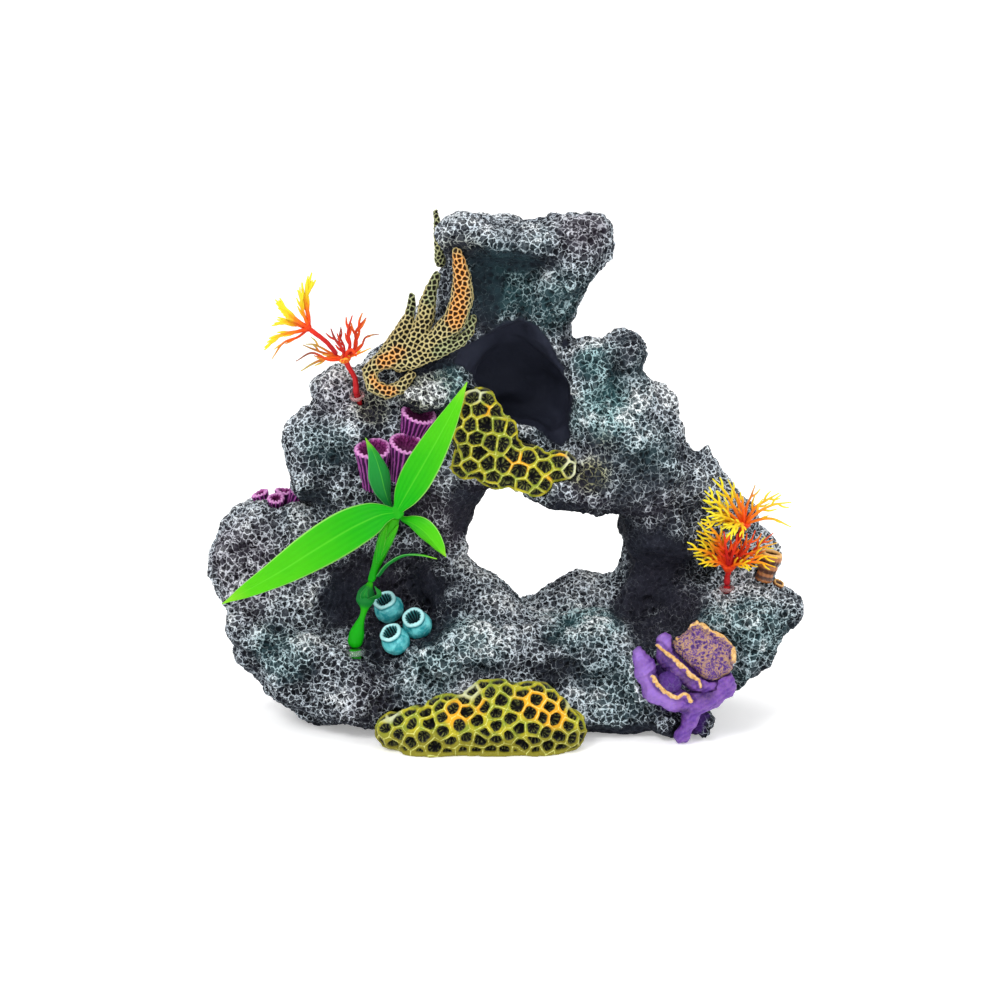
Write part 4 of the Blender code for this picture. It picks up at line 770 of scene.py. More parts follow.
sponge_mat = sponge_paint()
piece(
    "finger_sponge_visual",
    sponge("fingers", "finger_sponge", 1.36, 0.19, 0.85, 9,
           [([(-14.8, -18.1, 156.0), (-14.6, -18.1, 147.1), (-16.2, -16.1, 137.2)], 3.6), ([(-42.3, -12.1, 117.2), (-36.8, -13.1, 113.1)], 2.6),
            ([(-34.7, -13.1, 126.5), (-39.3, -12.1, 123.1)], 3.0)],
           [([(-22.1, -8.1, 150.7), (-24.4, -10.1, 142.9)], 3.0), ([(-10.5, -13.1, 137.5), (-12.8, -14.1, 131.5), (-21.1, -14.1, 126.6)], 3.2),
            ([(-30.3, -6.1, 144.0), (-30.6, -7.1, 139.3)], 2.5)]),
    sponge_mat, "rock", "sponge_olive", "finger_sponge",
)
piece(
    "crown_finger_visual",
    sponge("crown", "crown_finger", 1.2, 0.16, 0.6, 12,
           [], [([(-22.5, -1.1, 170.7), (-21.3, -2.1, 154.3)], 3.5)], 0.26),
    sponge_mat, "rock", "sponge_olive", "crown_finger",
)

# ----------------------------------------- turned shapes: tubes, vases, cups


def lathe(profile, foot, axis, sides, shape=None):
    """Rings of points about an axis.  profile is (radius, height, tag) with a
    pole at each end; shape(angle, i, radius, height) may change a point."""
    axis = Vector(axis).normalized()
    u = axis.orthogonal().normalized()
    v = axis.cross(u)
    u, v, axis, foot = (np.array(w) for w in (u, v, axis, Vector(foot)))
    verts, faces, tags, angles = [], [], [], []
    rows = []
    for i, (r, h, tag) in enumerate(profile):
        row = []
        n = 1 if r <= 1e-6 else sides
        for k in range(n):
            a = 2 * math.pi * k / sides
            rr, hh = (r, h) if shape is None or n == 1 else shape(a, i, r, h)
            row.append(len(verts))
            verts.append(foot + axis * hh + (u * math.cos(a) + v * math.sin(a)) * rr)
            tags.append(tag)
            angles.append(a)
        rows.append(row)
    for a, b in zip(rows, rows[1:]):
        for k in range(sides):
            j = (k + 1) % sides
            if len(a) == 1:
                faces.append((a[0], b[j], b[k]))
            elif len(b) == 1:
                faces.append((a[k], a[j], b[0]))
            else:
                faces.append((a[k], a[j], b[j], b[k]))
    return np.array(verts), faces, np.array(tags), np.array(angles)


def resample(profile, step):
    """A smooth, finely stepped copy of a profile of (radius, height, tag)."""
    out = []
    n = len(profile)
    for i in range(n - 1):
        a, b = profile[max(i - 1, 0)], profile[i]
        c, d = profile[i + 1], profile[min(i + 2, n - 1)]
        length = math.hypot(c[0] - b[0], c[1] - b[1])
        k = max(1, int(length / step))
        for s in range(k):
            t = s / k
            r, h = (
                0.5 * (2 * b[m] + (c[m] - a[m]) * t + (2 * a[m] - 5 * b[m] + 4 * c[m] - d[m]) * t * t
                       + (3 * b[m] - a[m] - 3 * c[m] + d[m]) * t**3)
                for m in (0, 1)
            )
            out.append((max(r, 0.02) if (i or s) else b[0], h, b[2] + (c[2] - b[2]) * t))
    out.append(profile[-1])
    return out


def solid(name, parts, *layers):
    """One mesh from several (points, faces) parts, with stored numbers."""
    mesh = bpy.data.meshes.new(name)
    verts, faces, at = [], [], 0
    for v, f in parts:
        verts.append(np.asarray(v))
        faces += [tuple(i + at for i in face) for face in f]
        at += len(v)
    co = np.concatenate(verts)
    mesh.from_pydata([tuple(p) for p in co * MM], [], faces)
    mesh.update()
    bm = bmesh.new()
    bm.from_mesh(mesh)
    bmesh.ops.recalc_face_normals(bm, faces=bm.faces)
    bm.to_mesh(mesh)
    bm.free()
    for layer, channels in layers:
        store(mesh, layer, *channels)
    return mesh, co


def fluted(foot, rim, r_foot, r_rim, depth, flutes, seed):
    foot, rim = Vector(foot), Vector(rim)
    h = (rim - foot).length
    profile = resample([
        (0, 0.0, 0.0), (r_foot * 0.8, 0.4, 0.0), (r_foot, 1.4, 0.0), (r_foot * 0.4 + r_rim * 0.55, h * 0.6, 0.25),
        (r_rim, h - 0.25, 0.5), (r_rim - 0.15, h + 0.15, 0.55), (r_rim - 0.75, h + 0.25, 0.6), (r_rim - 1.25, h - 0.35, 0.65),
        (r_rim * 0.62, h - depth * 0.6, 0.85), (0, h - depth, 1.0),
    ], 0.30)

    def shape(a, i, r, hh):
        tag = profile[i][2]
        wobble = 0.5 * math.sin(3 * a + seed) + 0.35 * math.sin(hh * 0.9 + 2 * a)
        wave = math.cos(flutes * a + wobble)
        amp = 0.30 if tag < 0.5 else 0.16 + 0.10 * (tag < 0.8)
        lift = 0.22 * wave * math.exp(-((tag - 0.55) / 0.12) ** 2) + 0.35 * math.sin(2 * a + seed) * tag
        body = r * (1 + 0.035 * math.sin(2 * a + seed * 1.3))
        return body + amp * wave * (1 if tag < 0.5 else -1), hh + (lift if tag > 0.2 else 0)

    v, f, tags, ang = lathe(profile, foot, rim - foot, flutes * 8, shape)
    wave = np.cos(flutes * ang + 0.5 * np.sin(3 * ang + seed))
    jitter = noise(v, 1.3, int(seed * 10) + 3, 2)
    v = v + 0.10 * jitter[:, None]
    return v, f, tags, wave * 0.5 + 0.5, jitter


def tube_paint():
    p = Paint("coral_purple_paint")
    tag, wave, vary = p.stored("tube")
    n1 = p.noise(0.7, 3.0, 0.6)
    outer = p.mix(p.remap(p.math("MULTIPLY_ADD", n1, 0.35, wave), 0.65, 1.15), (0.045, 0.006, 0.055), (0.36, 0.075, 0.33))
    inner = p.mix(p.remap(n1, 0.38, 0.66), (0.12, 0.008, 0.085), (0.46, 0.075, 0.33))
    # painted shade, darker deeper inside the tube
    inner = p.mix(p.remap(tag, 0.62, 0.95), inner, (0.075, 0.008, 0.050))
    rim = p.mix(n1, (0.50, 0.16, 0.44), (0.70, 0.36, 0.64))
    colour = p.mix(p.remap(tag, 0.58, 0.66), outer, inner)
    lip = p.math("MULTIPLY", p.remap(tag, 0.46, 0.54), p.remap(tag, 0.58, 0.65, 1.0, 0.0))
    colour = p.mix(lip, colour, rim)
    return p.finish(
        Base_Color=colour, Roughness=0.55, Specular_IOR_Level=0.15,
        Normal=p.bump(n1, 0.45, 0.25),
    )


tube_mat = tube_paint()
for name, node, args in (
    ("tube_coral_back_visual", "tube_coral_back", ((-30.8, -3.6, 97.3), (-28.3, -7.1, 105.5), 4.0, 5.8, 4.0, 20, 1.0)),
    ("tube_coral_left_visual", "tube_coral_left", ((-43.4, -5.1, 80.4), (-43.3, -12.1, 94.8), 3.6, 5.7, 6.0, 18, 2.0)),
    ("tube_coral_right_visual", "tube_coral_right", ((-34.8, -5.6, 82.9), (-32.1, -12.1, 96.5), 3.4, 5.5, 6.0, 18, 3.1)),
):
    v, f, tags, wave, vary = fluted(*args)
    mesh, _ = solid(name, [(v, f)], ("tube", (tags, wave, vary * 0.5 + 0.5)))
    piece(name, mesh, tube_mat, "rock", "coral_purple", node)

parts, tag_list, wave_list, vary_list = [], [], [], []
for foot, axis, r, h, seed in (
    ((-81.4, 12.9, 69.8), (-0.35, -0.15, 1), 2.85, 5.3, 1.0),
    ((-77.3, 8.9, 70.0), (0.05, -0.5, 1), 2.75, 4.8, 2.0),
    ((-75.4, 13.9, 69.2), (0.1, -0.1, 1), 3.05, 6.3, 3.0),
    ((-72.1, 10.9, 71.3), (0.45, -0.35, 1), 2.45, 5.7, 4.0),
):
    axis = Vector(axis).normalized()
    v, f, tags, wave, vary = fluted(foot, Vector(foot) + axis * h, r * 0.66, r, 2.4, 11, seed)
    parts.append((v, f))
    tag_list.append(tags)
    wave_list.append(wave)
    vary_list.append(vary * 0.5 + 0.5)
mesh, _ = solid("side_tubes", parts, ("tube", (np.concatenate(tag_list), np.concatenate(wave_list), np.concatenate(vary_list))))
piece("side_tube_cluster_visual", mesh, tube_mat, "rock", "coral_purple", "side_tube_cluster")

VASE = [
    (0, 0.0, 0.0), (2.6, 0.25, 0.03), (4.2, 1.6, 0.1), (4.95, 3.6, 0.2), (4.85, 5.4, 0.3), (4.2, 7.0, 0.38),
    (3.75, 7.75, 0.44), (3.95, 8.5, 0.5), (3.9, 9.2, 0.54), (3.35, 9.55, 0.58), (2.75, 9.2, 0.62), (2.45, 8.3, 0.68),
    (2.3, 6.4, 0.84), (0, 4.6, 1.0),
]


def vase_paint():
    p = Paint("vase_turquoise_paint")
    tag, wave, vary = p.stored("tube")
    n1 = p.noise(0.9, 3.0, 0.6)
    n2 = p.noise(3.2, 3.0, 0.55, 0.6)
    glaze = p.mix(p.remap(n2, 0.36, 0.68), (0.020, 0.30, 0.34), (0.16, 0.64, 0.66))
    glaze = p.mix(p.remap(n1, 0.56, 0.82, 0.0, 0.6), glaze, (0.48, 0.83, 0.83))
    glaze = p.mix(p.remap(tag, 0.40, 0.45, 0.0, 0.55), glaze, (0.010, 0.17, 0.21))
    rim = p.mix(n1, (0.24, 0.62, 0.64), (0.52, 0.80, 0.80))
    colour = p.mix(p.remap(tag, 0.48, 0.53), glaze, rim)
    bore = p.mix(p.remap(p.math("MULTIPLY_ADD", n1, 0.5, wave), 0.75, 1.2), (0.006, 0.030, 0.036), (0.06, 0.30, 0.31))
    # painted shade, darker deeper inside the vase
    bore = p.mix(p.remap(tag, 0.74, 0.95), bore, (0.004, 0.010, 0.014))
    colour = p.mix(p.remap(tag, 0.60, 0.65), colour, bore)
    return p.finish(
        Base_Color=colour, Roughness=p.remap(tag, 0.55, 0.7, 0.26, 0.6), Specular_IOR_Level=p.remap(tag, 0.6, 0.7, 0.5, 0.1),
        Normal=p.bump(p.math("ADD", n1, n2), 0.45, 0.22),
    )


vase_mat = vase_paint()
for name, node, foot, axis, scale, seed in (
    ("vase_back_visual", "vase_sponge_back", (-37.8, -0.1, 34.8), (-0.30, -0.50, 0.80), 0.98, 1.0),
    ("vase_right_visual", "vase_sponge_right", (-28.2, -6.1, 31.2), (-0.28, -0.62, 0.76), 0.98, 2.3),
    ("vase_front_visual", "vase_sponge_front", (-35.0, -12.6, 27.2), (-0.34, -0.48, 0.80), 0.95, 4.0),
):
    profile = resample([(r * scale, h * scale, t) for r, h, t in VASE], 0.28)

    def vase_shape(a, i, r, h):
        t = profile[i][2]
        ribs = 0.13 * math.cos(15 * a + seed) * (t > 0.58)
        hand = 0.10 * math.sin(2 * a + seed + h * 0.4) + 0.06 * math.sin(5 * a + 2 * seed - h * 0.7)
        return r + hand * min(1, r / 2) - ribs, h + 0.10 * math.sin(3 * a + seed) * (t > 0.4)

    v, f, tags, ang = lathe(profile, foot, axis, 90, vase_shape)
    vary = noise(v, 1.6, int(seed * 7), 2)
    mesh, _ = solid(name, [(v + 0.07 * vary[:, None], f)], ("tube", (tags, np.cos(15 * ang + seed) * 0.5 + 0.5, vary * 0.5 + 0.5)))
    piece(name, mesh, vase_mat, "rock", "vase_turquoise", node)

CUP_LARGE = [
    (0, 0, 0.0), (2.6, 0.2, 0.02), (3.0, 1.6, 0.1), (2.75, 3.0, 0.2), (3.5, 4.9, 0.3), (3.2, 6.4, 0.38), (3.85, 8.2, 0.46),
    (3.75, 10.0, 0.55), (3.25, 10.45, 0.6), (2.7, 9.8, 0.66), (2.3, 5.4, 0.9), (0, 4.6, 1.0),
]
CUP_SMALL = [
    (0, 0, 0.0), (1.4, 0.2, 0.03), (1.7, 2.4, 0.3), (2.0, 3.5, 0.5), (1.6, 3.95, 0.6), (1.15, 3.4, 0.7), (0, 2.6, 1.0),
]


def cup_paint():
    p = Paint("cup_rust_paint")
    tag, wave, vary = p.stored("tube")
    n1 = p.noise(0.8, 3.0, 0.6)
    bands = p.math("SINE", p.math("MULTIPLY", tag, 42.0))
    rust = p.mix(p.remap(p.math("MULTIPLY_ADD", n1, 1.4, bands), 0.1, 1.5), (0.060, 0.018, 0.008), (0.34, 0.115, 0.025))
    rust = p.mix(p.remap(n1, 0.58, 0.8), rust, (0.55, 0.27, 0.07))
    rim = p.mix(n1, (0.50, 0.24, 0.06), (0.85, 0.52, 0.16))
    colour = p.mix(p.math("MULTIPLY", p.remap(tag, 0.50, 0.56), p.remap(tag, 0.64, 0.70, 1.0, 0.0)), rust, rim)
    # painted shade inside the cup
    colour = p.mix(p.remap(tag, 0.68, 0.80), colour, (0.030, 0.010, 0.005))
    return p.finish(Base_Color=colour, Roughness=0.45, Normal=p.bump(p.math("ADD", n1, bands), 0.4, 0.2))


cup_mat = cup_paint()
for name, node, shape_of, foot, axis, waves, seed in (
    ("cup_coral_large_visual", "cup_coral_large", CUP_LARGE, (86.4, 1.4, 46.9), (0.28, -0.05, 1.0), 12, 1.0),
    ("cup_coral_small_visual", "cup_coral_small", CUP_SMALL, (90.4, 5.9, 42.6), (0.5, -0.35, 0.8), 9, 2.0),
):
    profile = resample(shape_of, 0.25)

    def cup_shape(a, i, r, h):
        return r + 0.09 * math.cos(waves * a + 0.6 * h) + 0.08 * math.sin(2 * a + seed), h + 0.12 * math.sin(3 * a + seed) * (profile[i][2] > 0.4)

    v, f, tags, ang = lathe(profile, foot, axis, 72, cup_shape)
    vary = noise(v, 1.2, 20 + int(seed), 2)
    mesh, _ = solid(name, [(v + 0.06 * vary[:, None], f)], ("tube", (tags, np.cos(waves * ang) * 0.5 + 0.5, vary * 0.5 + 0.5)))
    piece(name, mesh, cup_mat, "rock", "cup_rust", node)

# ------------------------------------------------------- the plate coral


def plate(node, seed, lips, light, deep, speckle):
    """lips are (line, reach, height) gold edges; light and deep are the pale
    outside and the painted shade in the folds as (place, radius)."""
    mesh = even(node, 0.36)
    ed = edges(mesh)
    co = relax(points(mesh), ed, 3, 0.5, 0.52)
    move(mesh, co)
    no = relax(normals(mesh), ed, 8)
    no /= np.maximum(np.linalg.norm(no, axis=1), 1e-6)[:, None]
    lip, rise, groove = np.zeros(len(co)), np.zeros(len(co)), np.zeros(len(co))
    jag = noise(co, 1.6, seed, 2)
    flat = np.stack([co[:, 0], 0 * co[:, 1], co[:, 2] + 0.2126 * co[:, 1]], 1)
    facing = 1 - smoothstep(0.2, 0.6, no[:, 1])
    for line, reach, height in lips:
        d = near_line(flat, [(x, 0.0, z + 0.2126 * y) for x, y, z in line]) + 9 * (1 - facing)
        lip = np.maximum(lip, 1 - smoothstep(0.55, 1.25, (d + 0.45 * jag) / reach))
        rise = np.maximum(rise, height * (1 - smoothstep(0.2, 1.2, d / reach)))
        groove = np.maximum(groove, smoothstep(0.8, 1.3, d / reach) * (1 - smoothstep(1.5, 2.8, d / reach)))
    def spots(places):
        out = np.zeros(len(co))
        for at, r in places:
            d = np.sqrt(((co - at) ** 2).sum(1)) / r
            out = np.maximum(out, 1 - smoothstep(0.4, 1.15, d + 0.15 * jag))
        return out
    pale, dark = spots(light), spots(deep)
    e, d, own = cells(co + 0.3 * jag[:, None], 1.35, seed + 2)
    grain = smoothstep(0.05, 0.4, e)
    # growth lines run round the plates
    lines = np.sin((co[:, 2] * 0.9 - co[:, 0] * 0.55) * 3.4 + 1.5 * jag)
    co = co + no * (
        rise - 0.55 * groove * (len(lips) > 0) - speckle * 0.55 * grain + 0.22 * jag + 0.10 * lines * (1 - speckle) - 0.15
    )[:, None]
    co[:, 2] = np.maximum(co[:, 2], 0)
    co = np.clip(co, np.array(cad_box[0]) / MM, np.array(cad_box[1]) / MM)
    move(mesh, co)
    # painted shade in the folds and in the grooves beside the lips
    store(mesh, "lip", lip, pale, np.clip(dark + 0.4 * groove, 0, 1))
    store(mesh, "grain", grain, np.full(len(co), speckle), np.clip(0.5 + 0.5 * lines, 0, 1))
    return mesh


def plate_paint():
    p = Paint("plate_violet_paint")
    lip, pale, dark = p.stored("lip")
    grain, speckle, lines = p.stored("grain")
    n1 = p.noise(0.9, 3.0, 0.6)
    n2 = p.noise(3.0, 3.0, 0.55)
    violet = p.mix(p.remap(n2, 0.3, 0.7), (0.080, 0.022, 0.230), (0.155, 0.052, 0.340))
    violet = p.mix(p.math("MULTIPLY", lines, 0.35), violet, (0.215, 0.095, 0.430))
    violet = p.mix(p.math("MULTIPLY", pale, 0.75), violet, (0.270, 0.140, 0.520))
    # painted shade in the folds
    violet = p.mix(p.math("MULTIPLY", dark, 0.8), violet, (0.026, 0.006, 0.085))
    violet = p.mix(p.math("MULTIPLY", speckle, 0.55), violet, (0.050, 0.014, 0.110))
    brushed = p.math("MULTIPLY", p.remap(grain, 0.15, 0.75, 1.0, 0.0), speckle)
    brushed = p.math("MULTIPLY", brushed, p.remap(p.math("MULTIPLY_ADD", p.noise(0.5, 2.0, 0.6), 1.2, n2), 0.97, 1.17))
    gold = p.mix(n1, (0.30, 0.165, 0.055), (0.52, 0.33, 0.14))
    colour = p.mix(p.math("MULTIPLY", brushed, 0.80), violet, gold)
    pit = p.math("MULTIPLY", p.remap(grain, 0.6, 1.0), speckle)
    colour = p.mix(p.math("MULTIPLY", pit, 0.55), colour, (0.020, 0.006, 0.060))
    edge = p.mix(p.remap(n1, 0.3, 0.7), (0.52, 0.26, 0.05), (0.74, 0.50, 0.22))
    worn = p.math("MULTIPLY_ADD", p.math("SUBTRACT", n1, 0.5), 0.9, lip)
    colour = p.mix(p.remap(worn, 0.35, 0.75), colour, edge)
    return p.finish(Base_Color=colour, Roughness=0.5, Specular_IOR_Level=0.3, Normal=p.bump(p.math("ADD", n1, p.math("MULTIPLY", lines, 0.4)), 0.5, 0.3))


plate_mat = plate_paint()
piece(
    "plate_upper_visual",
    plate("plate_coral_upper", 21,
          [([(61.9, -31.1, 41.7), (68.1, -31.1, 37.7), (74.4, -30.1, 33.1), (74.2, -30.1, 27.8)], 0.85, 0.5),
           ([(61.9, -31.1, 41.7), (57.5, -30.1, 38.8), (54.3, -30.1, 36.1)], 0.7, 0.2)],
          [], [((55.1, -29.1, 32.2), 4.0)], 1.0),
    plate_mat, "rock", "plate_violet", "plate_coral_upper",
)
piece(
    "plate_middle_visual",
    plate("plate_coral_middle", 22,
          [([(49.5, -30.1, 33.1), (52.0, -32.1, 31.3), (54.5, -33.1, 29.3), (57.1, -34.1, 27.2), (59.4, -34.1, 24.9), (62.3, -34.1, 22.5), (63.0, -34.1, 20.5)], 0.72, 1.0)],
          [((50.5, -29.1, 35.5), 5.0)], [((51.3, -29.1, 25.4), 6.0), ((56.4, -32.1, 21.3), 5.0)], 0.12),
    plate_mat, "rock", "plate_violet", "plate_coral_middle",
)
piece(
    "plate_lower_visual",
    plate("plate_coral_lower", 23,
          [([(47.7, -31.1, 23.0), (49.2, -33.1, 20.9), (51.4, -34.1, 19.2), (53.6, -35.1, 17.8), (55.2, -35.1, 17.1), (57.2, -35.1, 18.1), (59.1, -35.1, 17.5), (59.8, -35.1, 15.8)], 0.72, 1.0)],
          [((42.2, -29.1, 29.8), 5.0), ((44.1, -31.1, 22.7), 6.0), ((48.3, -33.1, 17.2), 6.0), ((52.4, -34.1, 15.2), 4.0)],
          [((51.2, -32.1, 21.6), 4.0), ((64.2, -32.1, 18.9), 5.0), ((57.7, -33.1, 11.8), 2.5)], 0.10),
    plate_mat, "rock", "plate_violet", "plate_coral_lower",
)

# ---------------------------------------------------- stems, leaves, fronds


def curve(line, count):
    """Points evenly along a smooth curve through the given ones."""
    pts = [Vector(p) for p in line]
    if len(pts) == 2:
        return [pts[0].lerp(pts[1], i / (count - 1)) for i in range(count)]
    ext = [2 * pts[0] - pts[1]] + pts + [2 * pts[-1] - pts[-2]]
    dense = []
    for i in range(1, len(ext) - 2):
        a, b, c, d = ext[i - 1 : i + 3]
        for k in range(12):
            t = k / 12
            dense.append(0.5 * (2 * b + (c - a) * t + (2 * a - 5 * b + 4 * c - d) * t * t + (3 * b - a - 3 * c + d) * t**3))
    dense.append(pts[-1])
    lengths = [0.0]
    for a, b in zip(dense, dense[1:]):
        lengths.append(lengths[-1] + (b - a).length)
    out, j = [], 0
    for i in range(count):
        s = lengths[-1] * i / (count - 1)
        while j < len(lengths) - 2 and lengths[j + 1] < s:
            j += 1
        seg = lengths[j + 1] - lengths[j]
        out.append(dense[j].lerp(dense[j + 1], (s - lengths[j]) / seg if seg else 0))
    return out


def eased(values, t):
    """A smooth value at t in 0..1 of evenly spaced values."""
    x = t * (len(values) - 1)
    i = min(int(x), len(values) - 2)
    f = x - i
    a, b, c, d = values[max(i - 1, 0)], values[i], values[i + 1], values[min(i + 2, len(values) - 1)]
    return 0.5 * (2 * b + (c - a) * f + (2 * a - 5 * b + 4 * c - d) * f * f + (3 * b - a - 3 * c + d) * f**3)


def turn(pts, side):
    out = []
    s = Vector(side).normalized()
    for i in range(len(pts)):
        t = (pts[min(i + 1, len(pts) - 1)] - pts[max(i - 1, 0)]).normalized()
        s = (s - t * s.dot(t)).normalized()
        out.append((t, s, t.cross(s)))
    return out


def between(rings):
    """Points and faces of a closed skin over rings; a ring of one is a pole."""
    verts, faces, rows = [], [], []
    for ring in rings:
        rows.append(list(range(len(verts), len(verts) + len(ring))))
        verts += [tuple(p) for p in ring]
    for a, b in zip(rows, rows[1:]):
        n = max(len(a), len(b))
        for i in range(n):
            j = (i + 1) % n
            if len(a) == 1:
                faces.append((a[0], b[j], b[i]))
            elif len(b) == 1:
                faces.append((a[i], a[j], b[0]))
            else:
                faces.append((a[i], a[j], b[j], b[i]))
    for row in (rows[0], rows[-1]):
        if len(row) > 2:
            faces.append(tuple(row))
    return np.array(verts), faces


def sweep(line, radii, count, sides, side=(0, 1, 0), flat=1.0, ball=(True, True), ribs=0, lump=0.0, seed=0.0):
    """A round or flattened stem; gives points, faces and how far along."""
    pts = curve(line, count)
    rings, far = [], []

    def ring(at, u, v, r, t):
        out = []
        for k in range(sides):
            a = 2 * math.pi * k / sides
            rr = r * (1 + lump * math.sin(t * 23 + seed + 2 * math.sin(a)) + (0.05 * math.cos(ribs * a) if ribs else 0))
            out.append(at + u * (rr * math.cos(a)) + v * (rr * flat * math.sin(a)))
        rings.append(out)
        far.extend([t] * sides)

    fr = turn(pts, side)
    if ball[0]:
        t, u, v = fr[0]
        r = radii[0]
        rings.append([pts[0] - t * r])
        far.append(0.0)
        for a in (66, 42, 20):
            ring(pts[0] - t * (r * math.sin(math.radians(a))), u, v, r * math.cos(math.radians(a)), 0.0)
    for i, p in enumerate(pts):
        s = i / (count - 1)
        ring(p, fr[i][1], fr[i][2], max(eased(radii, s), 0.05), s)
    if ball[1]:
        t, u, v = fr[-1]
        r = max(radii[-1], 0.05)
        for a in (30, 60):
            ring(pts[-1] + t * (r * math.sin(math.radians(a))), u, v, r * math.cos(math.radians(a)), 1.0)
        rings.append([pts[-1] + t * r])
        far.append(1.0)
    v, f = between(rings)
    return v, f, np.array(far)


def leaf(line, widths, side, fold, thick, seed, count=64, across=17):
    """A leaf blade with a folded midrib, fine ribs and a gently waved edge.
    Gives points, faces, how far along and how far across."""
    pts = curve(line, count)
    rings, far, out_to = [], [], []
    for i, (p, (t, s, n)) in enumerate(zip(pts, turn(pts, side))):
        v = i / (count - 1)
        w = max(eased(widths, v) / 2, 0.12)
        ring = []
        span = [-1 + 2 * k / (across - 1) for k in range(across)]
        for sign, row in ((1, span), (-1, span[-2:0:-1])):
            for u in row:
                body = thick / 2 * (0.25 + 0.75 * math.sqrt(max(0.0, 1 - u * u))) * min(1, 0.4 + w / 4)
                rib = 0.05 * math.cos(u * math.pi * 6) * (1 - abs(u)) * min(1, w / 3)
                keel = 0.30 * math.exp(-((u / 0.10) ** 2)) * min(1, w / 4) * (1 - v)
                wave = 0.30 * math.sin(v * 9 + seed) * u * abs(u) * min(1, w / 3)
                h = -fold * w * abs(u) ** 1.3 + wave + sign * body + (rib + keel * (0.4 if sign > 0 else -1))
                ring.append(p + s * (u * w) + n * h)
                far.append(v)
                out_to.append(u)
        rings.append(ring)
    v, f = between(rings)
    return v, f, np.array(far), np.array(out_to)


def leaf_paint():
    p = Paint("leaf_green_paint")
    far, across, shade = p.stored("leaf")
    n1 = p.noise(1.6, 3.0, 0.5)
    n2 = p.noise(9.0, 2.0, 0.5)
    veins = p.math("SINE", p.math("MULTIPLY", across, 44.0))
    out_by = p.math("ABSOLUTE", p.math("SUBTRACT", p.math("MULTIPLY", across, 2.0), 1.0))
    green = p.mix(p.remap(p.math("MULTIPLY_ADD", n2, 0.3, far), 0.15, 1.1), (0.003, 0.300, 0.002), (0.070, 0.445, 0.003))
    green = p.mix(p.math("MULTIPLY", p.remap(veins, -1.0, 1.0), 0.12), green, (0.04, 0.52, 0.004))
    green = p.mix(p.remap(shade, 0.0, 1.0), green, p.mix(far, (0.003, 0.120, 0.022), (0.012, 0.250, 0.030)))
    green = p.mix(p.remap(out_by, 0.90, 0.985, 0.0, 0.75), green, p.mix(shade, (0.36, 0.74, 0.14), (0.10, 0.42, 0.14)))
    green = p.mix(p.remap(out_by, 0.0, 0.07, 0.35, 0.0), green, (0.13, 0.60, 0.03))
    green = p.mix(p.remap(far, 0.82, 1.0, 0.0, 0.55), green, (0.30, 0.58, 0.03))
    return p.finish(
        Base_Color=green,
        Roughness=p.remap(n1, 0.2, 0.8, 0.30, 0.42),
        Specular_IOR_Level=0.10,
        Normal=p.bump(p.math("MULTIPLY_ADD", veins, 0.35, n1), 0.35, 0.18),
    )


leaf_mat = leaf_paint()


def along(base, axis, d):
    return Vector(base) + Vector(axis).normalized() * d


def greenery(name, parts, body, *nodes):
    """parts are (points, faces, along, across, shade)."""
    far = np.concatenate([p[2] for p in parts])
    across = np.concatenate([(p[3] + 1) / 2 if p[3] is not None else np.full(len(p[0]), 0.42) for p in parts])
    shade = np.concatenate([np.full(len(p[0]), 0.0) + p[4] for p in parts])
    mesh, _ = solid(name, [(p[0], p[1]) for p in parts], ("leaf", (far, across, shade)))
    return piece(name, mesh, leaf_mat, body, "leaf_green", *nodes)


GREEN_BASE = Vector((-49.6, -16.6, 31.0))
GREEN_CROWN = Vector((-43.8, -18.6, 52.6))
GREEN_HUB = Vector((-35.5, -21.1, 75.2))
HUB_AXIS = (0.30, -0.05, 1.0)
FRONT = (0.0, -1.0, 0.15)
LONG_CENTRE = GREEN_HUB + Vector((0.4, -2.7, 0.8))

stem_line = [GREEN_BASE, (-48.5, -16.9, 35.5), (-46.5, -17.4, 41.5), (-45.7, -17.9, 47.3), GREEN_CROWN - Vector((0.55, 0.0, 1.75))]
v, f, far = sweep(stem_line, (2.4, 2.35, 1.55, 0.95, 1.3, 3.0, 2.5, 1.0), 60, 24, (1, 0, 0), 0.72, (True, True), 9, 0.012)
# painted shade, darker where the sheath wraps the joint
sheath = smoothstep(0.55, 0.68, far) * (1 - smoothstep(0.93, 1.0, far))
parts = [(v, f, far * 0.35, None, 0.15 + 0.75 * sheath)]
for sgn, seed in ((1, 0.4), (-1, 1.8)):
    w = Vector((sgn * 1.0, -0.5, 0))
    tip = GREEN_CROWN + Vector((sgn * 2.4, -1.9, -3.4))
    v, f, far, out_to = leaf([(-45.7, -18.7, 45.5), tip - Vector((0, 0, 1.5)), tip + Vector((-sgn * 1.3, -0.1, 1.4))], (1.6, 2.6, 2.0, 0.4), (1, 0, 0.2), 0.2, 0.5, seed, 24, 9)
    parts.append((v, f, far * 0.4, out_to, 0.75))
greenery("green_stem_visual", parts, "green_plant_stem_body", "green_plant_stem")

v, f, far, out_to = leaf([(-41.3, -19.6, 53.8), (-38.2, -21.6, 58.0), (-32.9, -23.6, 61.5), (-27.3, -25.1, 62.0), (-22.2, -26.1, 61.1)],
                         (3.0, 3.1, 2.7, 2.2, 1.5, 0.3), (0.1, -0.8, 0.6), 0.25, 0.8, 0.7, 50, 11)
greenery("green_thin_leaf_visual", [(v, f, far, out_to, 0.75 - 0.75 * smoothstep(0.55, 1, far))], "green_plant_stem_body", "green_thin_leaf")

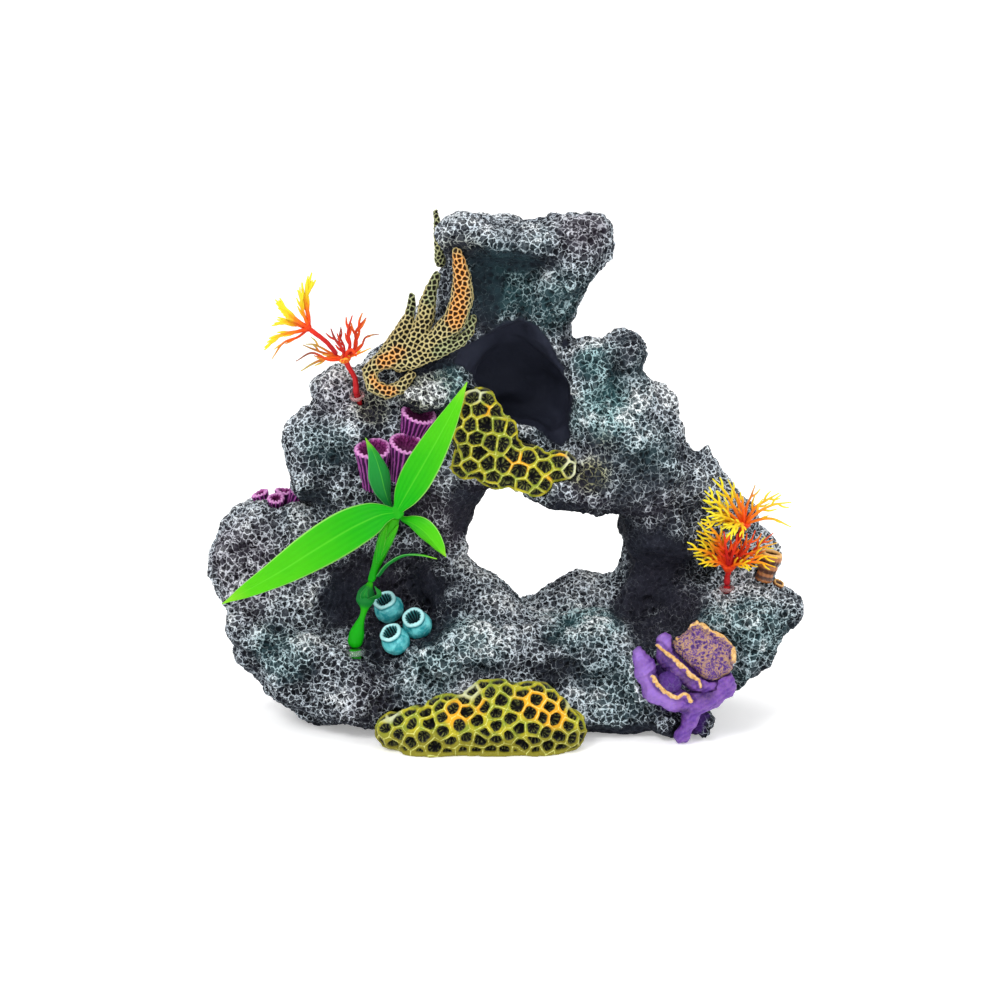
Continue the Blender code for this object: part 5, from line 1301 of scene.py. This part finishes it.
v, f, far = sweep([GREEN_CROWN, (-41.6, -19.3, 59.1), (-38.8, -20.1, 67.0), GREEN_HUB - Vector((0.5, 0, 1.6))],
                  (1.2, 1.35, 1.75, 2.2, 2.55, 2.5, 1.7), 44, 24, (1, 0, 0), 0.8, (True, False), 7, 0.01)
parts = [(v, f, far * 0.5, None, 0.0 + 0.1 * far)]
for dx, seed in ((-1.3, 0.3), (1.5, 2.2)):
    v, f, far, out_to = leaf([(-41.8, -20.7, 58.4), Vector((-38.7, -22.1, 67.1)) + Vector((dx * 0.9, 0, 0)), Vector((-36.7, -22.7, 71.9)) + Vector((dx * 1.3, 0, -0.4))],
                             (0.8, 1.7, 2.3, 1.8, 0.5), (1, 0, -0.3), 0.3, 0.5, seed, 26, 9)
    parts.append((v, f, far * 0.6, out_to, 0.12))
greenery("green_upper_stem_visual", parts, "green_plant_crown_body", "green_plant_upper_stem")


def hub(centre, axis, radius, thick):
    profile = resample([(0, 0, 0), (radius * 0.85, 0.05, 0.1), (radius, thick * 0.3, 0.3), (radius, thick * 0.7, 0.6), (radius * 0.8, thick - 0.02, 0.8), (0, thick, 1)], 0.3)
    v, f, tags, ang = lathe(profile, centre, axis, 40, lambda a, i, r, h: (r * (1 + 0.04 * math.cos(6 * a)), h))
    return v, f, tags * 0.3, None, 0.25


c_line = [along(GREEN_HUB, HUB_AXIS, 0.0), (-37.4, -20.3, 77.3), (-39.1, -20.7, 82.0), (-40.5, -21.5, 88.4), (-42.3, -22.3, 94.5), (-44.9, -23.1, 100.2)]
d_line = [along(GREEN_HUB, HUB_AXIS, 0.0), (-33.2, -21.9, 73.3), (-30.5, -23.6, 72.7), (-27.6, -25.6, 71.5), (-24.7, -27.1, 69.2), (-21.8, -27.6, 65.7), (-19.2, -27.6, 62.1)]
c = leaf(c_line, (1.6, 3.0, 6.4, 7.4, 5.4, 2.8, 0.3), (1.0, 0.35, 0.3), -0.35, 0.95, 0.2)
d = leaf(d_line, (1.6, 2.4, 5.2, 7.0, 6.6, 4.2, 0.3), (0.5, -0.3, 0.8), 0.3, 0.95, 1.3)
c_shade = 0.95 - 0.35 * smoothstep(0.75, 1.0, c[2]) - 0.25 * (c[3] > 0) * smoothstep(0.5, 0.9, c[2])
greenery(
    "green_leaf_short_visual",
    [hub(along(GREEN_HUB, HUB_AXIS, -0.9), HUB_AXIS, 1.9, 1.8), (*c, c_shade), (*d, 0.25 * (d[3] < 0.0) * (1 - 0.6 * d[2]))],
    "green_plant_crown_body", "green_leaf_pair_short",
)
a_line = [along(LONG_CENTRE, FRONT, 0.75), (-40.4, -26.1, 75.6), (-46.3, -29.1, 73.6), (-51.7, -31.1, 71.1), (-61.5, -33.6, 65.5), (-73.3, -34.6, 58.2), (-90.8, -34.1, 48.2)]
b_line = [along(LONG_CENTRE, FRONT, 0.75), (-31.7, -25.1, 82.3), (-27.4, -25.6, 89.9), (-22.3, -25.6, 99.0), (-17.1, -26.1, 108.8), (-12.3, -25.1, 118.6)]
a = leaf(a_line, (2.8, 10.0, 13.0, 13.4, 12.2, 10.0, 7.2, 4.2, 0.4), (-0.45, 0.12, 0.87), 0.12, 1.05, 0.5, 90, 23)
b = leaf(b_line, (2.8, 8.0, 10.6, 10.8, 9.7, 8.0, 5.8, 3.2, 0.4), (0.85, -0.2, 0.5), 0.14, 1.05, 2.1, 80, 21)
greenery(
    "green_leaf_long_visual",
    [hub(LONG_CENTRE, FRONT, 2.3, 1.5), (*a, 0.16 * (1 - smoothstep(0.0, 0.6, a[2]))), (*b, 0.0)],
    "green_plant_crown_body", "green_leaf_pair_long",
)
parts = []
v, f, far = sweep([along(GREEN_HUB, HUB_AXIS, 1.25), along(GREEN_HUB, HUB_AXIS, 3.2), along(GREEN_HUB, HUB_AXIS, 5.0)],
                  (1.15, 1.1, 0.8, 0.35), 22, 18, (0, 1, 0), 0.9, (False, True), 5, 0.05)
parts.append((v, f, far * 0.9, None, 0.05))
for k in range(3):
    ang = 2.1 * k + 0.4
    w = Vector((math.cos(ang), math.sin(ang) * 0.8, 0))
    base = along(GREEN_HUB, HUB_AXIS, 1.7) + w * 0.7
    v, f, far, out_to = leaf([base, base + w * 0.35 + Vector((0.3, 0, 1.5)), base + w * 0.15 + Vector((0.8, 0, 2.9))], (1.1, 1.2, 0.8, 0.2), w.cross(Vector((0, 0, 1))), 0.3, 0.35, k, 18, 7)
    parts.append((v, f, far, out_to, 0.0))
greenery("green_bud_visual", parts, "green_plant_crown_body", "green_plant_bud")

# ------------------------------------------------------- the fire plants


def fire_paint():
    p = Paint("fire_orange_paint")
    heat, strand_shade, fleck = p.stored("fire")
    n1 = p.noise(1.0, 3.0, 0.55)
    warm = p.math("MULTIPLY_ADD", p.math("SUBTRACT", n1, 0.5), 0.22, heat)
    colour = p.ramp(warm, [
        (0.0, (0.36, 0.012, 0.018)), (0.20, (0.56, 0.020, 0.012)), (0.40, (0.74, 0.070, 0.006)),
        (0.60, (0.74, 0.20, 0.010)), (0.78, (0.72, 0.46, 0.012)), (1.0, (0.74, 0.66, 0.03)),
    ])
    # painted shade: parts of a strand go to a darker, duller copy of their colour
    colour = p.mix(strand_shade, colour, p.mix(p.remap(heat, 0.35, 0.8), (0.16, 0.030, 0.022), (0.30, 0.26, 0.09)))
    colour = p.mix(p.math("MULTIPLY", fleck, p.remap(n1, 0.45, 0.6)), colour, (0.78, 0.60, 0.06))
    return p.finish(Base_Color=colour, Roughness=0.4, Specular_IOR_Level=0.12, Normal=p.bump(n1, 0.5, 0.16))


fire_mat = fire_paint()
FACE = Vector((0, -1, 0.2)).normalized()


def frond(line, r, kind, heat, strand_shade, rng, out):
    """A curving strand with side twigs.  kind is (twigs, reach, spread)."""
    twigs, reach, spread = kind
    pts = curve(line, 18)
    length = sum((b - a).length for a, b in zip(pts, pts[1:]))
    r *= 1.25
    v, f, far = sweep(line, (r, r * 0.95, r * 0.86, r * 0.7, r * 0.36), 26, 10, (0, 1, 0), 0.8, (False, True), 0, 0.05, rng.random() * 6)
    out.append((v, f, heat[0] + (heat[1] - heat[0]) * far, strand_shade * smoothstep(0.3, 0.8, far), 0 * far))
    fr = turn(pts, (0, 1, 0))
    for k in range(twigs):
        at = 0.34 + 0.58 * (k + 0.3 * rng.random()) / max(1, twigs)
        i = min(int(at * 17), 16)
        t = fr[i][0]
        across = t.cross(FACE).normalized() * (1 if k % 2 else -1)
        size = reach * length * (0.75 + 0.4 * rng.random()) * (1.05 - 0.45 * at)
        dip = FACE * (rng.random() - 0.5) * 0.5
        a = pts[i]
        b = a + (t * math.cos(spread * 1.15) + across * math.sin(spread * 1.15) + dip * 0.4) * size * 0.5
        c = b + (t * math.cos(spread * 0.55) + across * math.sin(spread * 0.55) + dip * 0.5) * size * 0.5
        h0 = heat[0] + (heat[1] - heat[0]) * at
        rr = r * (0.80 - 0.22 * at)
        v, f, far = sweep([a, b, c], (rr, rr * 0.95, rr * 0.52), 12, 8, (0, 1, 0), 0.85, (False, True), 0, 0.05, k)
        h1 = min(1.0, h0 + 0.28 * (heat[1] - heat[0]) + 0.18)
        out.append((v, f, h0 + (h1 - h0) * far, strand_shade * smoothstep(0.0, 0.6, far) * at, 0 * far))


def tuft(name, node, body, centre, axis, radius, seed, strands, lobes, fleck):
    rng = random.Random(seed)
    parts = []
    profile = resample([(0, 0, 0.0), (radius * 0.55, 0.05, 0.1), (radius * 0.9, radius * 0.5, 0.4), (radius, radius * 0.9, 0.6), (radius * 0.7, radius * 1.0, 0.8), (0, radius * 0.8, 1.0)], 0.25)
    v, f, tags, ang = lathe(profile, centre, axis, 48, lambda a, i, r, h: (r * (1 + 0.16 * profile[i][2] * math.cos(lobes * a)), h + 0.2 * math.sin(3 * a) * profile[i][2]))
    v = v + 0.12 * noise(v, 1.2, seed)[:, None]
    parts.append((v, f, 0.26 + 0.10 * tags, 0 * tags, fleck * tags))
    top = along(centre, axis, radius * 0.5)
    # the last number of each strand is how much painted shade it gets
    for line, r, kind, heat, strand_shade in strands:
        frond([top] + [Vector(p) for p in line], r, kind, heat, strand_shade, rng, parts)
    heat = np.concatenate([p[2] for p in parts])
    strand_shade = np.concatenate([p[3] for p in parts])
    speck = np.concatenate([p[4] for p in parts])
    mesh, _ = solid(name, [(p[0], p[1]) for p in parts], ("fire", (heat, strand_shade, speck)))
    piece(name, mesh, fire_mat, body, "fire_orange", node)


def fire_stem(name, node, body, line, radii, side=(0, 1, 0), flare=0.0):
    v, f, far = sweep(line, radii, 34, 16, side, 0.9, (True, True), 5, 0.035)
    mesh, _ = solid(name, [(v, f)], ("fire", (0.02 + flare * far, 0 * far, 0 * far)))
    piece(name, mesh, fire_mat, body, "fire_orange", node)


LEFT_BASE = Vector((-48.8, -6.1, 112.6))
LEFT_AXIS = (-0.10, -0.60, 0.80)
LEFT_HUB = Vector((-51.6, -11.1, 122.9))
LEFT_HUB_AXIS = (-0.30, -0.30, 0.90)
LEFT_TOP = Vector((-62.7, -13.6, 133.7))
LEFT_PIVOT = along(LEFT_HUB, (-0.8, -0.1, 0.75), 4.6)
fire_stem("left_fire_stem_visual", "left_fire_plant_stem", "left_plant_stem_body",
          [LEFT_BASE, (-49.0, -7.9, 116.9), (-50.6, -9.9, 120.5), along(LEFT_HUB, LEFT_HUB_AXIS, -0.4)], (1.15, 1.0, 0.9, 0.9, 1.0), flare=0.08)
BARE = (0, 0.0, 0.0)
FORK = (2, 0.34, 0.55)
TWIG = (4, 0.30, 0.60)
COMB = (6, 0.34, 0.62)
BRUSH = (9, 0.46, 0.26)
tuft("left_lower_tuft_visual", "left_fire_plant_lower_tuft", "left_plant_stem_body", LEFT_HUB, LEFT_HUB_AXIS, 2.3, 5, [
    ([(-56.3, -12.6, 124.5), (-61.1, -13.6, 123.3), (-66.0, -13.6, 120.4)], 0.50, (1, 0.3, 0.4), (0.28, 0.85), 0.75),
    ([(-56.8, -15.1, 124.2), (-62.1, -16.6, 126.7), (-67.2, -17.1, 124.1)], 0.48, (1, 0.25, 0.4), (0.25, 0.5), 0.95),
    ([(-55.7, -8.6, 124.5), (-60.9, -7.6, 126.0), (-65.8, -7.1, 127.9)], 0.50, FORK, (0.3, 0.7), 0.7),
    ([(-56.5, -10.6, 125.8), (-61.2, -11.6, 128.5), (-64.4, -12.1, 128.9)], 0.45, FORK, (0.3, 0.8), 0.75),
    ([(-52.6, -14.6, 127.7), (-54.7, -16.1, 131.1), (-55.9, -16.6, 134.4)], 0.55, (3, 0.35, 0.5), (0.12, 0.2), 0.75),
    ([(-52.3, -10.1, 128.0), (-53.6, -9.6, 130.9), (-53.2, -9.6, 134.1)], 0.42, FORK, (0.1, 0.2), 0.85),
    ([(-50.2, -12.6, 128.3), (-50.7, -13.1, 133.0), (-49.3, -13.6, 138.2)], 0.60, (3, 0.36, 0.45), (0.10, 0.3), 0.35),
    ([(-48.4, -10.1, 128.0), (-48.4, -9.6, 132.5), (-45.1, -9.6, 137.0)], 0.60, (5, 0.40, 0.45), (0.14, 0.4), 0.4),
    ([(-46.9, -13.6, 127.8), (-44.8, -15.1, 131.6), (-40.6, -16.1, 132.7)], 0.42, (2, 0.3, 0.35), (0.2, 0.5), 0.9),
    ([(-48.6, -13.1, 125.5), (-46.2, -14.1, 126.6), (-43.3, -14.6, 128.0)], 0.40, (1, 0.3, 0.4), (0.3, 0.8), 0.3),
    ([(-51.0, -14.1, 126.6), (-49.3, -15.6, 127.5), (-48.0, -16.6, 125.7)], 0.60, BARE, (0.2, 0.35), 0.0),
], 7, 1.0)
fire_stem("left_fire_upper_stem_visual", "left_fire_plant_upper_stem", "left_plant_upper_body",
          [LEFT_PIVOT, (-57.9, -12.7, 129.8), along(LEFT_TOP, (0.75, 0, -0.6), 0.35)], (0.85, 0.85, 0.85, 0.95), flare=0.2)
tuft("left_upper_tuft_visual", "left_fire_plant_upper_tuft", "left_plant_upper_body", LEFT_TOP, (-0.8, 0.0, 0.6), 1.3, 6, [
    ([(-63.4, -13.6, 138.8), (-64.2, -14.1, 143.7), (-61.9, -14.1, 149.5)], 0.75, BRUSH, (0.22, 1.0), 0.0),
    ([(-64.9, -15.1, 139.7), (-65.4, -16.1, 142.7), (-64.9, -16.6, 146.3)], 0.55, (5, 0.4, 0.25), (0.3, 1.0), 0.0),
    ([(-66.9, -14.6, 137.0), (-70.0, -15.1, 139.7), (-72.4, -15.6, 143.3)], 0.70, BRUSH, (0.28, 1.0), 0.0),
    ([(-68.4, -12.1, 135.7), (-71.4, -11.1, 135.9), (-74.4, -10.6, 135.5)], 0.65, (7, 0.42, 0.3), (0.3, 1.0), 0.0),
    ([(-67.3, -14.6, 133.2), (-72.0, -15.6, 132.3), (-77.2, -16.1, 128.5)], 0.65, (7, 0.32, 0.22), (0.26, 0.95), 0.0),
    ([(-66.9, -12.1, 131.2), (-71.9, -10.6, 129.0), (-75.7, -9.6, 123.7)], 0.45, (2, 0.25, 0.2), (0.2, 0.75), 0.35),
], 5, 0.0)

RIGHT_BASE = Vector((74.0, -2.1, 47.4))
RIGHT_AXIS = (0.0, -0.15, 1.0)
RIGHT_HUB = Vector((74.2, -3.6, 51.6))
RIGHT_TOP = Vector((78.4, -6.6, 66.9))
RIGHT_PIVOT = along(RIGHT_HUB, (0.10, 0.15, 1.0), 5.6)
fire_stem("right_fire_stem_visual", "right_fire_plant_stem", "right_plant_stem_body",
          [RIGHT_BASE, (74.0, -2.7, 49.5), along(RIGHT_HUB, RIGHT_AXIS, -0.4)], (1.25, 1.1, 0.95, 1.1), flare=0.12)
tuft("right_lower_tuft_visual", "right_fire_plant_lower_tuft", "right_plant_stem_body", RIGHT_HUB, RIGHT_AXIS, 2.5, 7, [
    ([(70.0, -7.1, 55.5), (66.7, -10.1, 56.2), (63.6, -12.1, 56.0)], 0.55, COMB, (0.22, 0.88), 0.0),
    ([(69.1, -6.1, 57.3), (64.8, -8.6, 59.9), (60.1, -10.1, 60.6)], 0.60, COMB, (0.20, 0.88), 0.0),
    ([(69.5, -5.6, 56.2), (65.7, -7.1, 57.5), (62.3, -8.1, 57.8)], 0.50, TWIG, (0.25, 0.88), 0.0),
    ([(69.4, -5.6, 59.2), (66.6, -7.1, 61.9), (62.8, -8.1, 63.2)], 0.55, COMB, (0.19, 0.88), 0.0),
    ([(70.6, -7.1, 60.9), (67.7, -9.1, 64.4), (62.9, -10.1, 66.7)], 0.60, COMB, (0.14, 0.84), 0.0),
    ([(71.0, -9.1, 62.4), (68.1, -11.1, 67.3), (64.0, -12.1, 70.2)], 0.60, COMB, (0.12, 0.84), 0.0),
    ([(72.6, -10.1, 60.3), (72.0, -12.1, 63.4), (71.5, -13.1, 67.0)], 0.60, TWIG, (0.05, 0.31), 0.0),
    ([(75.0, -9.1, 59.0), (75.7, -11.1, 62.9), (75.9, -12.1, 66.1)], 0.60, TWIG, (0.06, 0.35), 0.0),
    ([(74.4, -5.1, 58.8), (74.7, -5.1, 61.5), (74.0, -5.1, 63.5)], 0.60, FORK, (0.06, 0.35), 0.0),
    ([(77.6, -6.6, 58.8), (79.0, -8.6, 62.3), (79.4, -9.6, 65.6)], 0.58, TWIG, (0.06, 0.44), 0.0),
    ([(78.6, -9.6, 59.5), (80.6, -11.6, 63.7), (81.8, -12.1, 67.2)], 0.50, TWIG, (0.09, 0.40), 0.25),
    ([(80.3, -6.1, 57.6), (84.2, -6.6, 61.5), (88.4, -6.6, 65.2)], 0.50, TWIG, (0.09, 0.44), 0.4),
    ([(79.9, -7.1, 57.2), (84.4, -7.6, 60.4), (89.6, -7.6, 62.1)], 0.48, TWIG, (0.19, 0.75), 0.2),
    ([(80.1, -8.6, 56.2), (84.4, -11.1, 58.5), (89.2, -12.1, 58.0)], 0.52, TWIG, (0.22, 0.79), 0.0),
    ([(79.1, -9.1, 55.6), (83.1, -11.6, 56.6), (88.6, -12.6, 55.1)], 0.48, TWIG, (0.22, 0.75), 0.0),
    ([(77.1, -8.6, 55.2), (79.1, -11.6, 55.6), (80.6, -13.1, 54.6)], 0.55, COMB, (0.25, 0.84), 0.0),
], 8, 0.0)
fire_stem("right_fire_upper_stem_visual", "right_fire_plant_upper_stem", "right_plant_upper_body",
          [RIGHT_PIVOT, (76.5, -4.3, 60.6), along(RIGHT_TOP, (-0.3, 0, -0.95), 0.35)], (0.95, 0.9, 0.9, 1.1), flare=0.25)
tuft("right_upper_tuft_visual", "right_fire_plant_upper_tuft", "right_plant_upper_body", RIGHT_TOP, (0.25, -0.1, 1.0), 2.0, 8, [
    ([(74.8, -7.6, 74.6), (72.0, -8.6, 79.5), (67.9, -9.1, 83.9)], 0.62, TWIG, (0.35, 1.0), 0.0),
    ([(76.7, -5.6, 75.2), (75.3, -5.1, 78.8), (73.3, -5.1, 82.8)], 0.55, TWIG, (0.35, 0.95), 0.1),
    ([(73.4, -9.1, 72.5), (69.2, -11.1, 76.7), (65.1, -12.1, 80.5)], 0.60, COMB, (0.38, 1.0), 0.0),
    ([(73.7, -7.1, 71.1), (69.2, -8.6, 74.1), (64.8, -9.1, 76.9)], 0.52, COMB, (0.45, 1.0), 0.0),
    ([(73.4, -10.1, 70.7), (69.4, -13.1, 72.7), (65.7, -14.1, 72.3)], 0.60, COMB, (0.45, 1.0), 0.0),
    ([(74.3, -8.1, 69.3), (69.7, -10.6, 70.2), (64.1, -11.6, 69.4)], 0.52, COMB, (0.42, 1.0), 0.0),
    ([(76.1, -12.1, 69.5), (74.2, -15.1, 68.2), (73.5, -16.1, 65.4)], 0.60, COMB, (0.45, 1.0), 0.0),
    ([(74.9, -11.1, 69.6), (72.7, -13.6, 69.2), (70.7, -14.6, 68.4)], 0.50, TWIG, (0.45, 1.0), 0.0),
    ([(77.6, -11.1, 69.3), (77.6, -14.1, 67.6), (77.6, -15.1, 65.5)], 0.50, TWIG, (0.42, 0.9), 0.0),
    ([(77.9, -10.1, 73.8), (76.4, -11.6, 77.1), (75.6, -12.1, 79.5)], 0.55, FORK, (0.3, 0.6), 0.0),
    ([(79.5, -7.1, 74.5), (80.8, -7.1, 77.8), (82.0, -7.1, 81.5)], 0.50, FORK, (0.32, 0.7), 0.45),
    ([(82.2, -6.6, 73.7), (86.1, -6.6, 76.4), (90.0, -6.6, 78.7)], 0.55, TWIG, (0.38, 0.95), 0.1),
    ([(82.6, -9.1, 72.5), (87.4, -10.1, 75.4), (93.6, -10.1, 76.4)], 0.52, TWIG, (0.38, 0.95), 0.15),
    ([(82.9, -7.1, 69.7), (88.1, -7.6, 70.2), (94.1, -7.6, 67.5)], 0.52, (2, 0.2, 0.3), (0.4, 0.95), 0.1),
], 7, 0.0)

# --------------------------------------------- plugs and the glue round them


def plug(name, node, top, axis, radius, length, mat, slot):
    layers = []
    profile = [(0, 0, 0.0), (radius * 0.7, 0, 0.05), (radius * 0.8, 0.12, 0.1)]
    n = int(length / 0.45)
    for k in range(n):
        h = 0.4 + (length - 0.7) * k / n
        profile += [(radius * (0.93 if k % 2 else 1.0), h, 0.1 + 0.7 * k / n)]
    profile += [(radius * 0.96, length - 0.15, 0.9), (radius * 0.85, length, 0.95), (0, length, 1.0)]
    v, f, tags, ang = lathe(profile, along(top, axis, -length), axis, 40)
    if slot == "leaf_green":
        mesh, _ = solid(name, [(v, f)], ("leaf", (tags * 0.3, np.full(len(v), 0.42), np.full(len(v), 0.3))))
    else:
        mesh, _ = solid(name, [(v, f)], ("fire", (0.02 + 0 * tags, 0 * tags, 0 * tags)))
    piece(name, mesh, mat, "rock", slot, node)


def glue_paint(name, tint, clear):
    p = Paint(name)
    n1 = p.noise(1.6, 3.0, 0.5)
    bubbles = p.walls(0.9)
    p.finish(
        Base_Color=p.mix(n1, tint, tuple(min(1.0, c * 1.25 + 0.02) for c in tint)),
        Roughness=p.remap(n1, 0.2, 0.8, 0.06, 0.22),
        Transmission_Weight=clear,
        IOR=1.45,
        Normal=p.bump(p.math("ADD", n1, p.remap(bubbles, 0.0, 0.25, 0.0, 0.5)), 0.45, 0.25),
    )
    return p.mat


def bead(name, node, base, axis, r_in, r_out, height, mat, seed):
    """A ring of cured adhesive that has slumped a little."""
    mid, half = (r_in + r_out) / 2, (r_out - r_in) / 2
    section = []
    for k in range(20):
        a = 2 * math.pi * k / 20
        x, h = math.cos(a), math.sin(a)
        section.append((mid + half * 0.97 * x * (1 - 0.12 * max(h, 0)), height * (0.5 + 0.49 * h)))
    ax = Vector(axis).normalized()
    u = ax.orthogonal().normalized()
    w = ax.cross(u)
    verts, faces, sides = [], [], 72
    for k in range(sides):
        a = 2 * math.pi * k / sides
        sag = 1 + 0.05 * math.sin(3 * a + seed) + 0.03 * math.sin(7 * a + 2 * seed)
        for r, h in section:
            rr = r_in + (r - r_in) * (0.90 + 0.06 * math.sin(2 * a + seed) + 0.04 * math.sin(5 * a))
            verts.append(Vector(base) + ax * (h * sag * 0.95) + (u * math.cos(a) + w * math.sin(a)) * rr)
    for k in range(sides):
        j = (k + 1) % sides
        for i in range(20):
            n = (i + 1) % 20
            faces.append((k * 20 + i, k * 20 + n, j * 20 + n, j * 20 + i))
    mesh, _ = solid(name, [(np.array([tuple(q) for q in verts]), faces)])
    piece(name, mesh, mat, "rock", "clear_glue", node)


clear_mat = glue_paint("clear_glue_paint", (0.72, 0.80, 0.78), 0.92)
rosy_mat = glue_paint("rosy_glue_paint", (0.62, 0.36, 0.36), 0.75)
plug("green_plug_visual", "green_plant_plug", along(GREEN_BASE, (0, 0, 1), -2.9), (0, 0, 1), 2.0, 7.0, leaf_mat, "leaf_green")
plug("left_fire_plug_visual", "left_fire_plant_plug", along(LEFT_BASE, LEFT_AXIS, -1.25), LEFT_AXIS, 1.1, 5.5, fire_mat, "fire_orange")
plug("right_fire_plug_visual", "right_fire_plant_plug", along(RIGHT_BASE, RIGHT_AXIS, -1.45), RIGHT_AXIS, 1.2, 5.5, fire_mat, "fire_orange")
bead("green_glue_visual", "green_plant_glue_bead", along(GREEN_BASE, (0, 0, 1), -4.6), (0, 0, 1), 2.35, 3.7, 2.0, clear_mat, 1.0)
bead("left_fire_glue_visual", "left_fire_plant_glue_bead", along(LEFT_BASE, LEFT_AXIS, -2.9), LEFT_AXIS, 1.45, 2.6, 1.6, rosy_mat, 2.0)
bead("right_fire_glue_visual", "right_fire_plant_glue_bead", along(RIGHT_BASE, RIGHT_AXIS, -3.1), RIGHT_AXIS, 1.55, 2.7, 1.6, rosy_mat, 3.0)

# ------------------------------------------------- floor, light and camera

# flat under the object, rising gently far out, like a paper sweep
SWEEP = [(0.0, 0.0), (0.4, 0.0), (0.9, 0.0), (1.6, 0.0)]
SWEEP += [(1.6 + 2.2 * math.sin(a / 9 * math.pi / 2), 2.2 - 2.2 * math.cos(a / 9 * math.pi / 2)) for a in range(1, 10)]
SWEEP += [(3.8, 3.4), (3.8, 4.6)]
bm = bmesh.new()
rings = []
for r, z in SWEEP:
    if r == 0:
        rings.append([bm.verts.new((0, 0, z))])
    else:
        rings.append([bm.verts.new((r * math.cos(k * math.pi / 48), r * math.sin(k * math.pi / 48), z)) for k in range(96)])
for a, b in zip(rings, rings[1:]):
    for k in range(96):
        j = (k + 1) % 96
        bm.faces.new((a[0], b[k], b[j]) if len(a) == 1 else (a[k], b[k], b[j], a[j]))
floor_mesh = bpy.data.meshes.new("floor")
bm.to_mesh(floor_mesh)
bm.free()
floor_mesh.shade_smooth()
p = Paint("floor_paint")
p.finish(
    Base_Color=p.mix(p.noise(400.0, 2.0), (0.90, 0.90, 0.905), (0.91, 0.91, 0.91)),
    Roughness=0.85,
    Emission_Color=(1.0, 1.0, 1.0),
    Emission_Strength=0.30,
)
floor_mesh.materials.append(p.mat)
floor = link("floor", floor_mesh)
floor.location.z = -0.0002


def lamp(name, at, size, power, aim=(0, 0, 0.07), colour=(1, 1, 1)):
    data = bpy.data.lights.new(name, "AREA")
    data.shape = "DISK"
    data.size = size
    data.energy = power
    data.color = colour
    obj = link(name, data)
    obj.location = at
    obj.rotation_euler = (Vector(aim) - Vector(at)).to_track_quat("-Z", "Y").to_euler()
    return obj


lamp("key", (-0.55, -0.95, 1.15), 0.55, 10.5)
lamp("fill", (0.95, -0.75, 0.70), 0.80, 3.2)
lamp("top", (0.1, 0.15, 1.35), 0.9, 4.5)

world = bpy.data.worlds.new("studio")
bpy.context.scene.world = world
world.use_nodes = True
back = world.node_tree.nodes["Background"]
back.inputs["Color"].default_value = (1.0, 1.0, 1.0, 1)
back.inputs["Strength"].default_value = 0.55

cam_data = bpy.data.cameras.new("camera")
cam_data.sensor_width = 36
cam_data.lens = 80.92
cam_data.clip_start = 0.01
cam_data.clip_end = 50
cam = link("camera", cam_data)
aim = Vector((-0.0017, 0.0019, 0.0744))
tilt = math.radians(12.0)
cam.location = aim + 0.750 * Vector((0, -math.cos(tilt), math.sin(tilt)))
cam.rotation_euler = (aim - cam.location).to_track_quat("-Z", "Y").to_euler()
bpy.context.scene.camera = cam
bpy.context.scene.view_settings.view_transform = "Standard"
